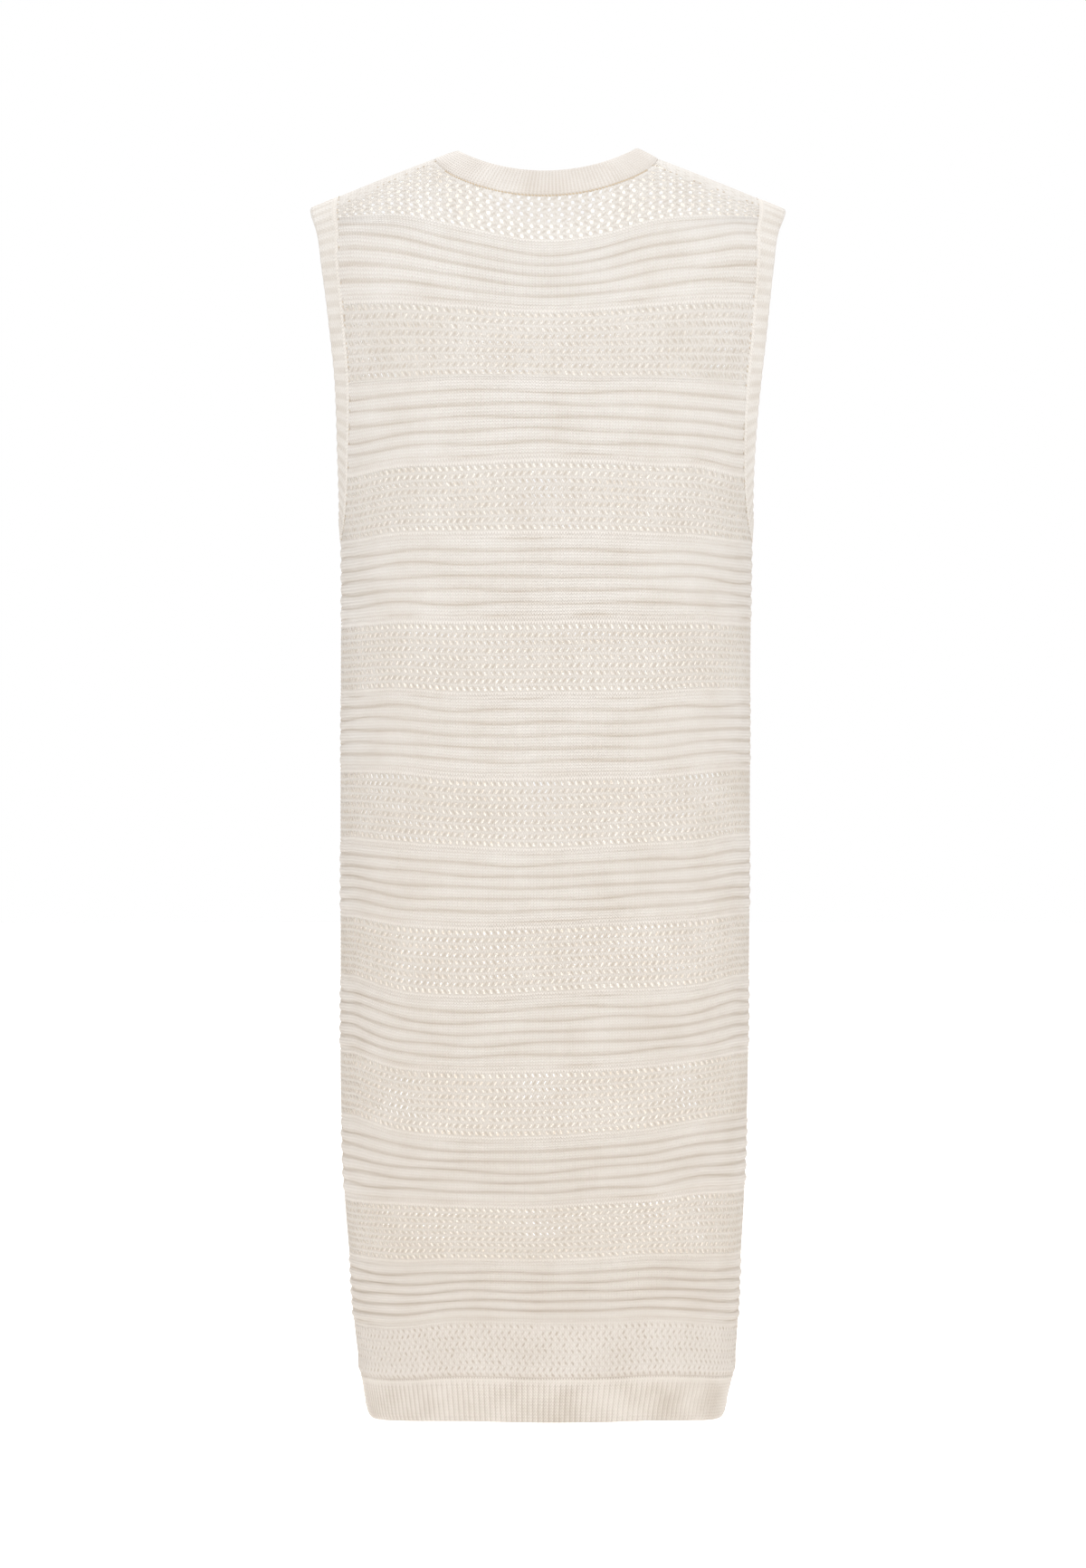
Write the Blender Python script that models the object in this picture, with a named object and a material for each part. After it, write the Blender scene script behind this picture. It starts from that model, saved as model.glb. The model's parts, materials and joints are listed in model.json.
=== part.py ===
"""Long sleeveless knitted vest, filled out as when it is worn, with nobody in it.

Metres, +Z up. The origin is in the middle of the neck opening, level with the shoulder line beside the neck.
The wearer's back faces -Y and the front faces +Y. Seven knitted pieces are sewn together: back, front,
neck band, an armhole band on each side, and a hem rib in two halves. Each is a closed wall of cloth with a
plain inside. Six welts, rounded ridges knitted across, are raised on every solid band of the back and front,
and cross ribs on the armhole bands.
"""

from math import cos, pi, radians, sin, sqrt

import bmesh
import bpy
import numpy as np

# ---------------------------------------------------------------- driving dimensions, in metres
CLOTH = 0.0020  # wall of the back and front
WELT = 0.0018  # how far a welt stands out of the cloth
SEAM = 0.0003  # gap between two pieces at a seam
SQUARE = 2 / 2.3  # roundness of the level sections: 1 is an ellipse, smaller is squarer

CREST_TOP = 0.062  # shoulder line: height = CREST_TOP - CREST_SLOPE * hypot(x, CREST_ROUND)
CREST_SLOPE = 0.43
CREST_ROUND = 0.060
SHOULDER_ROUND = 0.070  # height over which a shoulder rounds down to the upright back or front

NECK_HALF = 0.0988  # half width of the neckline that the band is sewn to
NECK_CURVE = 1.25
NECK_BACK = -0.0278  # height of the neckline in the middle of the back
NECK_FRONT = -0.0600
NECK_TILT = 0.0012  # the right side sits this much higher
RIM_HALF = 0.0785  # the neck band's upper rim
RIM_SIDE = 0.0212
RIM_ROUND = 0.12  # how roundly the rim goes over the shoulder
RIM_BACK = -0.0043
RIM_FRONT = -0.0370
RIM_DEPTH_BACK = 0.067
RIM_DEPTH_FRONT = 0.076
NECK_CLOTH = 0.0030
NECK_GAP = 0.0006  # from the neckline to the band

ARM_BAND = 0.0176  # width of an armhole band
ARM_X = 0.200  # half distance between the armholes, above and at their lowest point
ARM_X_LOW = 0.1815
ARM_TURN = radians(24)  # the opening's edge, measured round the body from the side line
ARM_TAPER_Z = -0.170  # below this the armhole closes
ARM_SEAM_Z = -0.3245  # lowest point of the armhole seam
ARM_CLOTH = 0.0024
ARM_RIB = 0.0011
ARM_RIB_PITCH = 0.0118
ARM_EDGE_ROUND = 0.0006
ARM_GAP = 0.0005  # from the seam line to the band
ARM_BEVEL = 0.7  # how far the band's inner edge is set back, as a share of the first quarter of its width
ARM_LEVEL = 0.130  # this far below the shoulder line the ribs run level

HEM_TOP = 1.0515  # courses are counted down from the origin along the middle of the back
HEM_EDGE = 1.0924
HEM_CLOTH = 0.0026
BLOUSE = 0.0014  # the net swells this much over the hem rib

BACK, FRONT = -1, 1
BODY_COLUMNS = 14
YOKE_COLUMNS = 26
EDGE_COLUMN = 0.96  # where the narrow column along a seam begins
NECK_SHARE = EDGE_COLUMN * 2 / 3  # this share of the yoke ends at the neckline
WELTS_PER_BAND = 6
ARMHOLE_BANDS = 2  # so many bands of welts lie beside the armholes

# The worn form: one row per level. Drop is measured down from the origin.
FORM_COLUMNS = ("drop", "half_width", "drift", "back", "front")
FORM = (
    (-0.030, 0.2290, 0.0016, 0.066, 0.068),
    (0.000, 0.2285, 0.0016, 0.073, 0.075),
    (0.038, 0.2262, 0.0016, 0.085, 0.089),
    (0.054, 0.2203, 0.0012, 0.090, 0.096),
    (0.086, 0.2150, 0.0012, 0.099, 0.107),
    (0.118, 0.2106, 0.0016, 0.107, 0.117),
    (0.150, 0.2067, 0.0018, 0.113, 0.124),
    (0.182, 0.2027, 0.0016, 0.117, 0.128),
    (0.214, 0.1985, 0.0008, 0.120, 0.130),
    (0.246, 0.1936, 0.0000, 0.1215, 0.130),
    (0.278, 0.1878, -0.0002, 0.122, 0.129),
    (0.310, 0.1824, 0.0000, 0.122, 0.127),
    (0.342, 0.1808, 0.0002, 0.1215, 0.125),
    (0.420, 0.1803, -0.0004, 0.120, 0.122),
    (0.550, 0.1802, -0.0008, 0.119, 0.120),
    (0.700, 0.1798, -0.0012, 0.121, 0.121),
    (0.820, 0.1788, -0.0018, 0.123, 0.122),
    (0.900, 0.1760, -0.0016, 0.123, 0.122),
    (0.950, 0.1726, -0.0010, 0.122, 0.121),
    (1.014, 0.1688, -0.0002, 0.119, 0.118),
    (1.046, 0.1656, 0.0006, 0.115, 0.114),
    (1.066, 0.1625, 0.0006, 0.111, 0.110),
    (1.080, 0.1597, 0.0000, 0.108, 0.107),
    (1.092, 0.1575, 0.0000, 0.106, 0.105),
    (1.100, 0.1535, 0.0000, 0.103, 0.102),
)

# The solid bands, each with its welts, as courses down the middle. Openwork net lies between them.
WELT_BANDS_COLUMNS = ("first", "last")
WELT_BANDS = (
    (0.0715, 0.1270),
    (0.1893, 0.2549),
    (0.3260, 0.3947),
    (0.4642, 0.5306),
    (0.5993, 0.6587),
    (0.7227, 0.7829),
    (0.8469, 0.9000),
    (0.9531, 1.0016),
)

# How the courses hang: millimetres that each course lies above its middle, at eight places across.
HANG_AT = (-0.167, -0.131, -0.083, 0.000, 0.045, 0.093, 0.133, 0.165)
HANG_COLUMNS = ("course", "left3", "left2", "left1", "middle", "right1", "right2", "right3", "right4")
HANG = (
    (0.066, 24, 25, 15, 0, 5, 19, 24, 24),
    (0.079, 31, 27, 15, 0, 5, 19, 26, 31),
    (0.128, 12, 11, 6, 0, 2, 7, 11, 13),
    (0.200, -4, -2, 0, 0, -1, -1, -2, -3),
    (0.255, -10, -4, -3, 0, -1, -3, -4, -10),
    (0.338, -4, 0, 0, 0, 0, -1, -2, -4),
    (0.395, -1, 1, 0, 0, 1, 0, 1, 0),
    (0.475, 3, 4, 0, 0, 0, 1, 4, 5),
    (0.531, 7, 6, 1, 0, 1, 2, 6, 9),
    (0.610, 9, 5, 2, 0, 2, 5, 7, 12),
    (0.659, 8, 2, -1, 0, 2, 4, 6, 10),
    (0.733, 13, 1, -3, 0, 2, 3, 6, 13),
    (0.783, 13, 2, -1, 0, 1, 4, 8, 13),
    (0.855, 13, 4, 0, 0, 3, 7, 13, 15),
    (0.900, 1, 1, 0, 0, 3, 5, 10, 9),
    (0.961, -3, -4, 0, 0, 1, 3, 0, -3),
    (1.001, -8, -7, 0, 0, 0, 1, -3, -9),
    (1.0515, -7, -5, 0, 0, 0, 1, -2, -7),
    (1.0924, -7, -3, 0, 0, 0, 0, -3, -7),
)

# The shoulder seams lie behind the shoulder line: how far below it, beside the neck and at the armhole.
SHOULDER_SEAM_COLUMNS = ("sign_of_x", "at_neck", "at_arm", "neck_corner")
SHOULDER_SEAMS = ((-1, 0.0080, 0.0120, radians(80)), (1, 0.0150, 0.0080, radians(71)))

# Colour and roughness of each kind of knitting
FINISHES = {
    "body_knit": ((0.80, 0.74, 0.66), 0.90),
    "band_rib": ((0.80, 0.74, 0.67), 0.92),
    "hem_knit": ((0.77, 0.70, 0.62), 0.92),
}

# ---------------------------------------------------------------- smooth curves through the tables
def curve(places, values):
    """Smooth curve through a table's values, level beyond its ends."""
    places, values = np.asarray(places, float), np.asarray(values, float)
    slopes = np.gradient(values, places)

    def read(x):
        i = np.clip(np.searchsorted(places, x) - 1, 0, len(places) - 2)
        step = places[i + 1] - places[i]
        t = np.clip((x - places[i]) / step, 0, 1)
        start = (1 + 2 * t) * (1 - t) ** 2 * values[i] + t * (1 - t) ** 2 * step * slopes[i]
        end = t**2 * (3 - 2 * t) * values[i + 1] + t**2 * (t - 1) * step * slopes[i + 1]
        return start + end

    return read


def table_curves(table, columns):
    """A curve for each column of a table after its first."""
    places = [row[0] for row in table]
    return {name: curve(places, [row[i + 1] for row in table]) for i, name in enumerate(columns[1:])}


FORM_CURVES = table_curves(FORM, FORM_COLUMNS)
HANG_CURVES = table_curves(HANG, HANG_COLUMNS)


def form_size(name, z):
    return FORM_CURVES[name](-np.asarray(z, float))


def hang(course):
    """Curve of how many millimetres a course lies above its own middle, along x."""
    return curve(HANG_AT, [column(course) for column in HANG_CURVES.values()])


# ---------------------------------------------------------------- the worn form
def crest(x):
    """Height of the shoulder line."""
    return CREST_TOP - CREST_SLOPE * np.hypot(x, CREST_ROUND)


def rounding(x):
    """Height over which the form rounds off below the shoulder line: none in the middle of the neck."""
    t = np.clip(np.abs(x) / NECK_HALF, 0.02, 1)
    return SHOULDER_ROUND * t * t * (3 - 2 * t)


def along_cloth(fall, x):
    """Distance down the cloth from the shoulder line to a point that lies fall below it."""
    round_height = rounding(x)
    arc = round_height * np.arccos(np.clip(1 - fall / round_height, 0, 1))
    return arc + np.maximum(fall - round_height, 0)


def on_form(side, turn, along):
    """Point of the form's outer face. turn goes round the body from the middle of that side (0) to the side
    line (pi / 2). along is the distance down from the shoulder line; below zero it lies on the other side."""
    turn, along = np.broadcast_arrays(np.asarray(turn, float), np.asarray(along, float))
    face = side * np.where(along < 0, -1, 1) * np.where(np.cos(turn) < 0, -1, 1)
    reach = np.sign(np.sin(turn)) * np.abs(np.sin(turn)) ** SQUARE
    z = -0.03 - np.abs(along)
    for _ in range(7):
        x = form_size("drift", z) + form_size("half_width", z) * reach
        round_height = rounding(x)
        bend = np.minimum(np.abs(along) / round_height, pi / 2)
        fall = round_height * (1 - np.cos(bend)) + np.maximum(np.abs(along) - round_height * pi / 2, 0)
        z = crest(x) - fall
    depth = np.where(face < 0, form_size("back", z), form_size("front", z))
    y = face * depth * np.abs(np.cos(turn)) ** SQUARE * np.sin(bend)
    return np.stack([x, y, z], axis=-1)


def outward(side, turn, along):
    """Unit vector out of the form's outer face."""
    step = 0.004
    across = on_form(side, turn + step, along) - on_form(side, turn - step, along)
    down = on_form(side, turn, along + step / 4) - on_form(side, turn, along - step / 4)
    normal = side * np.cross(across, down)
    return normal / np.linalg.norm(normal, axis=-1, keepdims=True)


def turn_of(x, z):
    """Turn at which the form's section at height z has this x."""
    share = (x - form_size("drift", z)) / form_size("half_width", z)
    return np.sign(share) * np.arcsin(np.clip(np.abs(share), 0, 1) ** (1 / SQUARE))


def band_turns(heights):
    """How far round the body the band's width reaches at some heights of the opening's edge."""
    middle, reach = pi / 2 - ARM_TURN, 0.05
    along = along_cloth(np.maximum(crest(ARM_X) - heights, 0), ARM_X)
    ends = [on_form(BACK, turn, along) for turn in (middle - reach, middle + reach)]
    return ARM_BAND * 2 * reach / np.linalg.norm(ends[1] - ends[0], axis=-1)


BAND_HEIGHTS = np.linspace(ARM_SEAM_Z, 0, 14)
BAND_TURNS = band_turns(BAND_HEIGHTS)


UNDER_ARM = float(along_cloth(crest(ARM_X_LOW) - ARM_SEAM_Z, ARM_X_LOW))


COLUMN_TURN = curve((0.17, 0.25, 0.28, 0.30, 0.315, 0.3245, 0.345, 0.38, 0.42),
                    np.radians((59, 63.5, 67.5, 71.5, 76.5, 80, 84, 88, 90)))


def arm_seam_turn(z):
    """Turn of the armhole seam at height z, and under the arm that of the side seam."""
    share = np.clip((ARM_TAPER_Z - z) / (ARM_TAPER_Z - ARM_SEAM_Z), 0, 1)
    width = ARM_TURN + np.interp(z, BAND_HEIGHTS, BAND_TURNS)
    side_gap = (SEAM / 2 / form_size("back", z)) ** (1 / SQUARE)
    return pi / 2 - np.maximum(width * np.sqrt(1 - share**2), side_gap)


# ---------------------------------------------------------------- lines that the pieces share
def neck_height(angle):
    """Height of the neckline. angle goes round the neck from the middle of the back (0) to the front (pi)."""
    middle = NECK_BACK if cos(angle) > 0 else NECK_FRONT
    rise = crest(NECK_HALF) - middle
    return middle + rise * (1 - abs(cos(angle)) ** NECK_CURVE) + NECK_TILT * sin(angle) * abs(cos(angle))


def neck_point(side, angle):
    """(turn, along) of a point of the neckline, as the piece on that side counts it."""
    x, z = NECK_HALF * sin(angle), neck_height(angle)
    along = float(along_cloth(max(crest(x) - z, 0), x))
    return float(turn_of(x, z)), along if cos(angle) * side <= 0 else -along


def shoulder_point(side, sign, share):
    """(turn, along) on the shoulder seam, from the neck (share 0) to the armhole seam (1)."""
    row = next(r for r in SHOULDER_SEAMS if r[0] == sign)
    fall = row[1] + (row[2] - row[1]) * share
    neck_turn = abs(neck_point(BACK, sign * row[3])[0])
    turn = neck_turn
    for _ in range(6):
        x, _, z = on_form(BACK, sign * turn, along_cloth(fall, 0.15))
        turn = neck_turn + (arm_seam_turn(float(z)) - neck_turn) * share
    along = float(along_cloth(fall, x)) - side * SEAM / 2
    return sign * turn, along if side == BACK else -along + SEAM


def yoke_edge(side, u):
    """(turn, along) of the panel's upper edge, for u from -1 to 1 across it."""
    sign = 1 if u > 0 else -1
    corner = next(r for r in SHOULDER_SEAMS if r[0] == sign)[3]
    if abs(u) > NECK_SHARE + 1e-9:
        return shoulder_point(side, sign, (abs(u) - NECK_SHARE) / (1 - NECK_SHARE))
    if abs(u) > NECK_SHARE - 1e-9:
        return shoulder_point(side, sign, 0.0)
    share = abs(u) / NECK_SHARE
    angle = corner * share if side == BACK else pi - (pi - corner) * share
    return neck_point(side, sign * angle)


def places_across(columns):
    """Where the columns of points lie, from -1 to 1: even, with a narrow one along each seam."""
    return np.concatenate(([-1], np.linspace(-EDGE_COLUMN, EDGE_COLUMN, columns - 1), [1]))


def course_line(course, columns):
    """(turn, along) arrays of one knitted course, from side seam or armhole seam to the other."""
    u = places_across(columns)
    lift = hang(course)
    z = np.full(columns + 1, -course)
    for _ in range(8):
        ends = arm_seam_turn(z[[0, -1]])
        turn = u * np.where(u < 0, *np.minimum(ends, COLUMN_TURN(-z[[0, -1]])))
        turn[[0, -1]] = ends * (-1, 1)
        reach = np.sign(u) * np.abs(np.sin(turn)) ** SQUARE
        x = form_size("drift", z) + form_size("half_width", z) * reach
        z = -course + lift(x) / 1000
    return turn, along_cloth(crest(x) - z, x)


def panel_rows(side):
    """Every row of a panel from its upper edge to the hem: turn, along, height of relief, kept inside too."""
    first = WELT_BANDS[0][0] - 0.0037
    turn_end, along_end = course_line(first, YOKE_COLUMNS)
    edge = np.array([yoke_edge(side, u) for u in places_across(YOKE_COLUMNS)])
    steps = (0, 0.35, 0.7) if side == BACK else (0, 0.17, 0.34, 0.52, 0.72)
    rows = []
    for t in steps:
        rows.append((edge[:, 0] * (1 - t) + turn_end * t, edge[:, 1] * (1 - t) + along_end * t, 0.0, True))
    rows.append((turn_end, along_end, 0.0, True))
    for course, relief, inside in body_courses():
        rows.append((*course_line(course, BODY_COLUMNS), relief, inside))
    return rows


def body_courses():
    """(course, relief, kept inside too) from the first band of welts to the hem."""
    rows = []
    for i, (top, bottom) in enumerate(WELT_BANDS):
        pitch = (bottom - top) / WELTS_PER_BAND
        rows.append((top, 0.0, True))
        for welt in range(WELTS_PER_BAND):
            rows.append((top + (welt + 0.45) * pitch, WELT, False))
            inside = welt == WELTS_PER_BAND - 1 or (i < ARMHOLE_BANDS and welt % 2 == 1)
            rows.append((top + (welt + 1) * pitch, 0.0, inside))
        net_end = WELT_BANDS[i + 1][0] if i + 1 < len(WELT_BANDS) else HEM_TOP
        rows += net_courses(bottom, net_end, beside_armhole=i < ARMHOLE_BANDS)
    rows.append((HEM_TOP - 0.012, BLOUSE, False))
    rows.append((HEM_TOP, 0.0, True))
    return rows


def net_courses(top, bottom, beside_armhole):
    """Rows inside a net: as close as the armhole band's ribs beside the armholes, and one elsewhere."""
    if not beside_armhole:
        return [((top + bottom) / 2, 0.0, True)]
    under_arm = bottom > -ARM_SEAM_Z
    end = -ARM_SEAM_Z + float(hang(-ARM_SEAM_Z)(HANG_AT[0])) / 1000 if under_arm else bottom
    shares = (0.14, 0.28, 0.42, 0.56, 0.68, 0.79, 0.88, 0.95, 1.0) if under_arm else (
        0.125, 0.25, 0.375, 0.5, 0.625, 0.75, 0.875)
    return [(top + (end - top) * share, 0.0, share in (0.42, 0.5, 0.79, 0.95, 1.0)) for share in shares]


# ---------------------------------------------------------------- closed solids from rows of points
def zip_rows(bm, upper, lower):
    """Faces between two rows of vertices that may differ in number."""
    at_upper, at_lower = places_across(len(upper) - 1), places_across(len(lower) - 1)
    i = j = 0
    while i < len(upper) - 1 or j < len(lower) - 1:
        ahead = at_upper[min(i + 1, len(upper) - 1)] - at_lower[min(j + 1, len(lower) - 1)]
        if abs(ahead) < 1e-6 and i < len(upper) - 1 and j < len(lower) - 1:
            bm.faces.new((upper[i], lower[j], lower[j + 1], upper[i + 1]))
            i, j = i + 1, j + 1
        elif ahead < 0:
            bm.faces.new((upper[i], lower[j], upper[i + 1]))
            i += 1
        else:
            bm.faces.new((upper[i], lower[j], lower[j + 1]))
            j += 1


def finish_solid(bm, name, finish):
    bmesh.ops.triangulate(bm, faces=bm.faces[:])
    bmesh.ops.recalc_face_normals(bm, faces=bm.faces[:])
    mesh = bpy.data.meshes.new(name)
    bm.to_mesh(mesh)
    bm.free()
    mesh.shade_smooth()
    mesh.set_sharp_from_angle(angle=radians(28))
    mesh.materials.append(bpy.data.materials[finish])
    solid = bpy.data.objects.new(name, mesh)
    bpy.context.scene.collection.objects.link(solid)
    return solid


def panel_solid(name, outer, inner, finish):
    """Wall between outer and inner rows of points. The two sides meet at every edge of the piece."""
    bm = bmesh.new()
    out_rows = [[bm.verts.new(p) for p in row] for row in outer]
    in_rows = [[bm.verts.new(p) for p in row] for row in inner]
    for rows in (out_rows, in_rows):
        for upper, lower in zip(rows[:-1], rows[1:]):
            zip_rows(bm, upper, lower)
    zip_rows(bm, out_rows[0], in_rows[0])
    zip_rows(bm, out_rows[-1], in_rows[-1])
    for end in (0, -1):
        zip_by_length(bm, [row[end] for row in out_rows], [row[end] for row in in_rows])
    return finish_solid(bm, name, finish)


def zip_by_length(bm, line, other):
    """Faces between two lines of vertices, each step on the line that is behind."""
    def shares(verts):
        steps = [0.0] + [(b.co - a.co).length for a, b in zip(verts[:-1], verts[1:])]
        total = np.cumsum(steps)
        return total / total[-1]

    share, other_share = shares(line), shares(other)
    i = j = 0
    while i < len(line) - 1 or j < len(other) - 1:
        if j == len(other) - 1 or (i < len(line) - 1 and share[i + 1] <= other_share[j + 1]):
            bm.faces.new((line[i], other[j], line[i + 1]))
            i += 1
        else:
            bm.faces.new((line[i], other[j], other[j + 1]))
            j += 1


def ring_solid(name, sections, finish):
    """Closed ring through a list of sections, each a loop of the same number of points."""
    bm = bmesh.new()
    loops = [[bm.verts.new(p) for p in section] for section in sections]
    count = len(loops[0])
    for loop, following in zip(loops, loops[1:] + loops[:1]):
        for i in range(count):
            j = (i + 1) % count
            bm.faces.new((loop[i], loop[j], following[j], following[i]))
    return finish_solid(bm, name, finish)


# ---------------------------------------------------------------- the pieces
def make_panel(name, side, rows):
    """Back or front: welts raised in the outer points, a plain inside."""
    outer, inner = [], []
    for turn, along, relief, inside in rows:
        skin, normal = on_form(side, turn, along), outward(side, turn, along)
        height = np.full((len(turn), 1), relief)
        if skin[0, 2] > ARM_SEAM_Z:
            height[[0, -1]] = 0
        else:
            normal[[0, -1], 1] = 0
        outer.append(skin + height * normal)
        if inside:
            inner.append(skin - CLOTH * normal)
    return panel_solid(name, outer, inner, "body_knit")


def make_neck_band(back_rows, front_rows):
    """Ribbed band on the neckline, leaning in to its rim."""
    columns = places_across(YOKE_COLUMNS)
    at_neck = [i for i, u in enumerate(columns) if abs(u) <= NECK_SHARE + 1e-9]
    stations = [(BACK, back_rows[0], i) for i in at_neck]
    stations += [(FRONT, front_rows[0], i) for i in reversed(at_neck[1:-1])]
    sections = []
    for side, (turn, along, _, _), i in stations:
        foot = on_form(side, turn[i], along[i])
        normal = outward(side, turn[i], along[i])
        sign = 1 if columns[i] > 0 else -1
        share = abs(columns[i]) / NECK_SHARE
        corner = next(r for r in SHOULDER_SEAMS if r[0] == sign)[3]
        angle = corner * share if side == BACK else pi - (pi - corner) * share
        sections.append(neck_section(foot, normal, sign * angle))
    return ring_solid("neck_band", sections, "band_rib")


def neck_section(foot, normal, angle):
    """Loop of points round the band's wall at one place on the neckline."""
    back = cos(angle) > 0
    depth = -RIM_DEPTH_BACK if back else RIM_DEPTH_FRONT
    middle = RIM_BACK if back else RIM_FRONT
    full = sqrt(1 + RIM_ROUND**2)
    rise = (full - sqrt(cos(angle) ** 2 + RIM_ROUND**2)) / (full - RIM_ROUND)
    height = middle + (RIM_SIDE - middle) * rise + NECK_TILT * sin(angle)
    rim = np.array([0.0012 + RIM_HALF * sin(angle), depth * abs(cos(angle)), height])
    up = rim - foot
    up /= np.linalg.norm(up)
    out = normal - up * float(normal @ up)
    out /= np.linalg.norm(out)
    away = up - normal * float(normal @ up)
    away /= np.linalg.norm(away)
    base = foot - normal * CLOTH + away * NECK_GAP
    middle_out = (foot + rim) / 2 + out * (NECK_CLOTH - CLOTH / 2)
    return [base, base + normal * NECK_CLOTH, middle_out, rim + out * NECK_CLOTH * 0.8 - up * 0.001,
            rim + out * NECK_CLOTH * 0.4, rim - up * 0.001]


def armhole_seam(sign, back_rows, front_rows):
    """Evenly spaced (turn, along) all round an armhole seam, as the back counts them. Their number is even."""
    end = 0 if sign < 0 else -1
    turns, alongs = [sign * pi / 2], [-UNDER_ARM]
    for rows, face in ((front_rows[::-1], -1), (back_rows[1:], 1)):
        for turn, along, _, _ in rows:
            if on_form(BACK, turn[end], along[end])[2] > ARM_SEAM_Z + 1e-4:
                turns.append(turn[end])
                alongs.append(face * along[end])
    turns.append(sign * pi / 2)
    alongs.append(UNDER_ARM)
    steps = np.linalg.norm(np.diff(on_form(BACK, turns, alongs), axis=0), axis=1)
    distance = np.concatenate(([0], np.cumsum(steps)))
    count = 2 * round(distance[-1] / ARM_RIB_PITCH)
    places = np.arange(count) * distance[-1] / count
    return np.interp(places, distance, turns), np.interp(places, distance, alongs)


def make_armhole_band(name, sign, back_rows, front_rows):
    """Band round one armhole, from the seam to the free edge, with ribs across it."""
    stations = zip(*armhole_seam(sign, back_rows, front_rows))
    sections = [arm_section(turn, along, sign, i % 2 == 1) for i, (turn, along) in enumerate(stations)]
    return ring_solid(name, sections, "band_rib")


def arm_edge(turn, along, sign):
    """(turn, along) on the opening's free edge that faces a point of the armhole seam."""
    x, _, z = on_form(BACK, turn, along)
    edge_turn = pi / 2 - ARM_TURN
    edge_x = on_form(BACK, sign * edge_turn, along)[0]
    if z > ARM_TAPER_Z:
        rise = (crest(x) - crest(edge_x)) * min(1.0, abs(along) / ARM_LEVEL)
        return sign * edge_turn, along - rise * np.sign(along)
    share = min((ARM_TAPER_Z - z) / (ARM_TAPER_Z - ARM_SEAM_Z), 1.0)
    edge_z = ARM_TAPER_Z - (ARM_TAPER_Z - ARM_SEAM_Z - ARM_BAND) * share
    edge_turn = pi / 2 - ARM_TURN * sqrt(1 - share**2)
    edge_x = on_form(BACK, sign * edge_turn, along)[0]
    return sign * edge_turn, along_cloth(crest(edge_x) - edge_z, edge_x) * np.sign(along)


def arm_section(turn, along, sign, raised):
    """Loop of points round the armhole band's wall, straight across the band."""
    edge_turn, edge_along = arm_edge(turn, along, sign)
    width = np.linalg.norm(on_form(BACK, edge_turn, edge_along) - on_form(BACK, turn, along))
    skins, normals = [], []
    for share in (ARM_GAP / width, 0.25, 0.8, 1.0):
        at_turn, at_along = turn + (edge_turn - turn) * share, along + (edge_along - along) * share
        skins.append(on_form(BACK, at_turn, at_along))
        normals.append(outward(BACK, at_turn, at_along))
    rib = ARM_RIB if raised else 0
    inner_seam = skins[0] + (skins[1] - skins[0]) * ARM_BEVEL
    outer = [skins[0], skins[1] + rib * normals[1], skins[2] + rib * normals[2],
             skins[3] - ARM_EDGE_ROUND * normals[3]]
    return outer + [skins[3] - ARM_CLOTH * normals[3], inner_seam - ARM_CLOTH * normals[0]]


def make_hem_rib(name, side):
    """Half of the hem rib, drawn in a little below the net, with a rounded lower edge."""
    rows = []
    for course, relief in ((HEM_TOP + SEAM, -0.0004), (HEM_TOP + 0.004, 0.0002), (1.072, 0.0), (1.085, 0.0),
                           (1.0905, -0.0002), (HEM_EDGE, -0.0010)):
        rows.append((*course_line(course, BODY_COLUMNS), relief))
    outer, inner = [], []
    for turn, along, relief in rows:
        outer.append(on_form(side, turn, along) + relief * outward(side, turn, along))
    for turn, along, _ in (rows[0], rows[2], rows[-1]):
        inner.append(on_form(side, turn, along) - HEM_CLOTH * outward(side, turn, along))
    return panel_solid(name, outer, inner, "hem_knit")


def make_materials():
    for name, (colour, roughness) in FINISHES.items():
        material = bpy.data.materials.new(name)
        material.use_nodes = True
        shader = material.node_tree.nodes["Principled BSDF"]
        shader.inputs["Base Color"].default_value = (*colour, 1)
        shader.inputs["Roughness"].default_value = roughness
        shader.inputs["Metallic"].default_value = 0.0
        material.diffuse_color = (*colour, 1)


def main():
    for item in list(bpy.data.objects):
        bpy.data.objects.remove(item)
    make_materials()
    back_rows, front_rows = panel_rows(BACK), panel_rows(FRONT)
    make_panel("back_panel", BACK, back_rows)
    make_panel("front_panel", FRONT, front_rows)
    make_neck_band(back_rows, front_rows)
    make_armhole_band("armhole_band_left", -1, back_rows, front_rows)
    make_armhole_band("armhole_band_right", 1, back_rows, front_rows)
    make_hem_rib("hem_rib_back", BACK)
    make_hem_rib("hem_rib_front", FRONT)


main()
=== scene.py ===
# %% [markdown]
# # A long knitted sweater vest
# The vest is knitted in cream yarn and filled out as when it is worn. Bands of welts, which are rounded
# ridges across the cloth, take turns with bands of openwork net. This lesson starts from the solids of the
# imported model, which have the right shape and size, and dresses them in real stitches, holes and seams.

# %% Load the frame
import json
from math import cos, pi, radians, sin, sqrt

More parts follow.
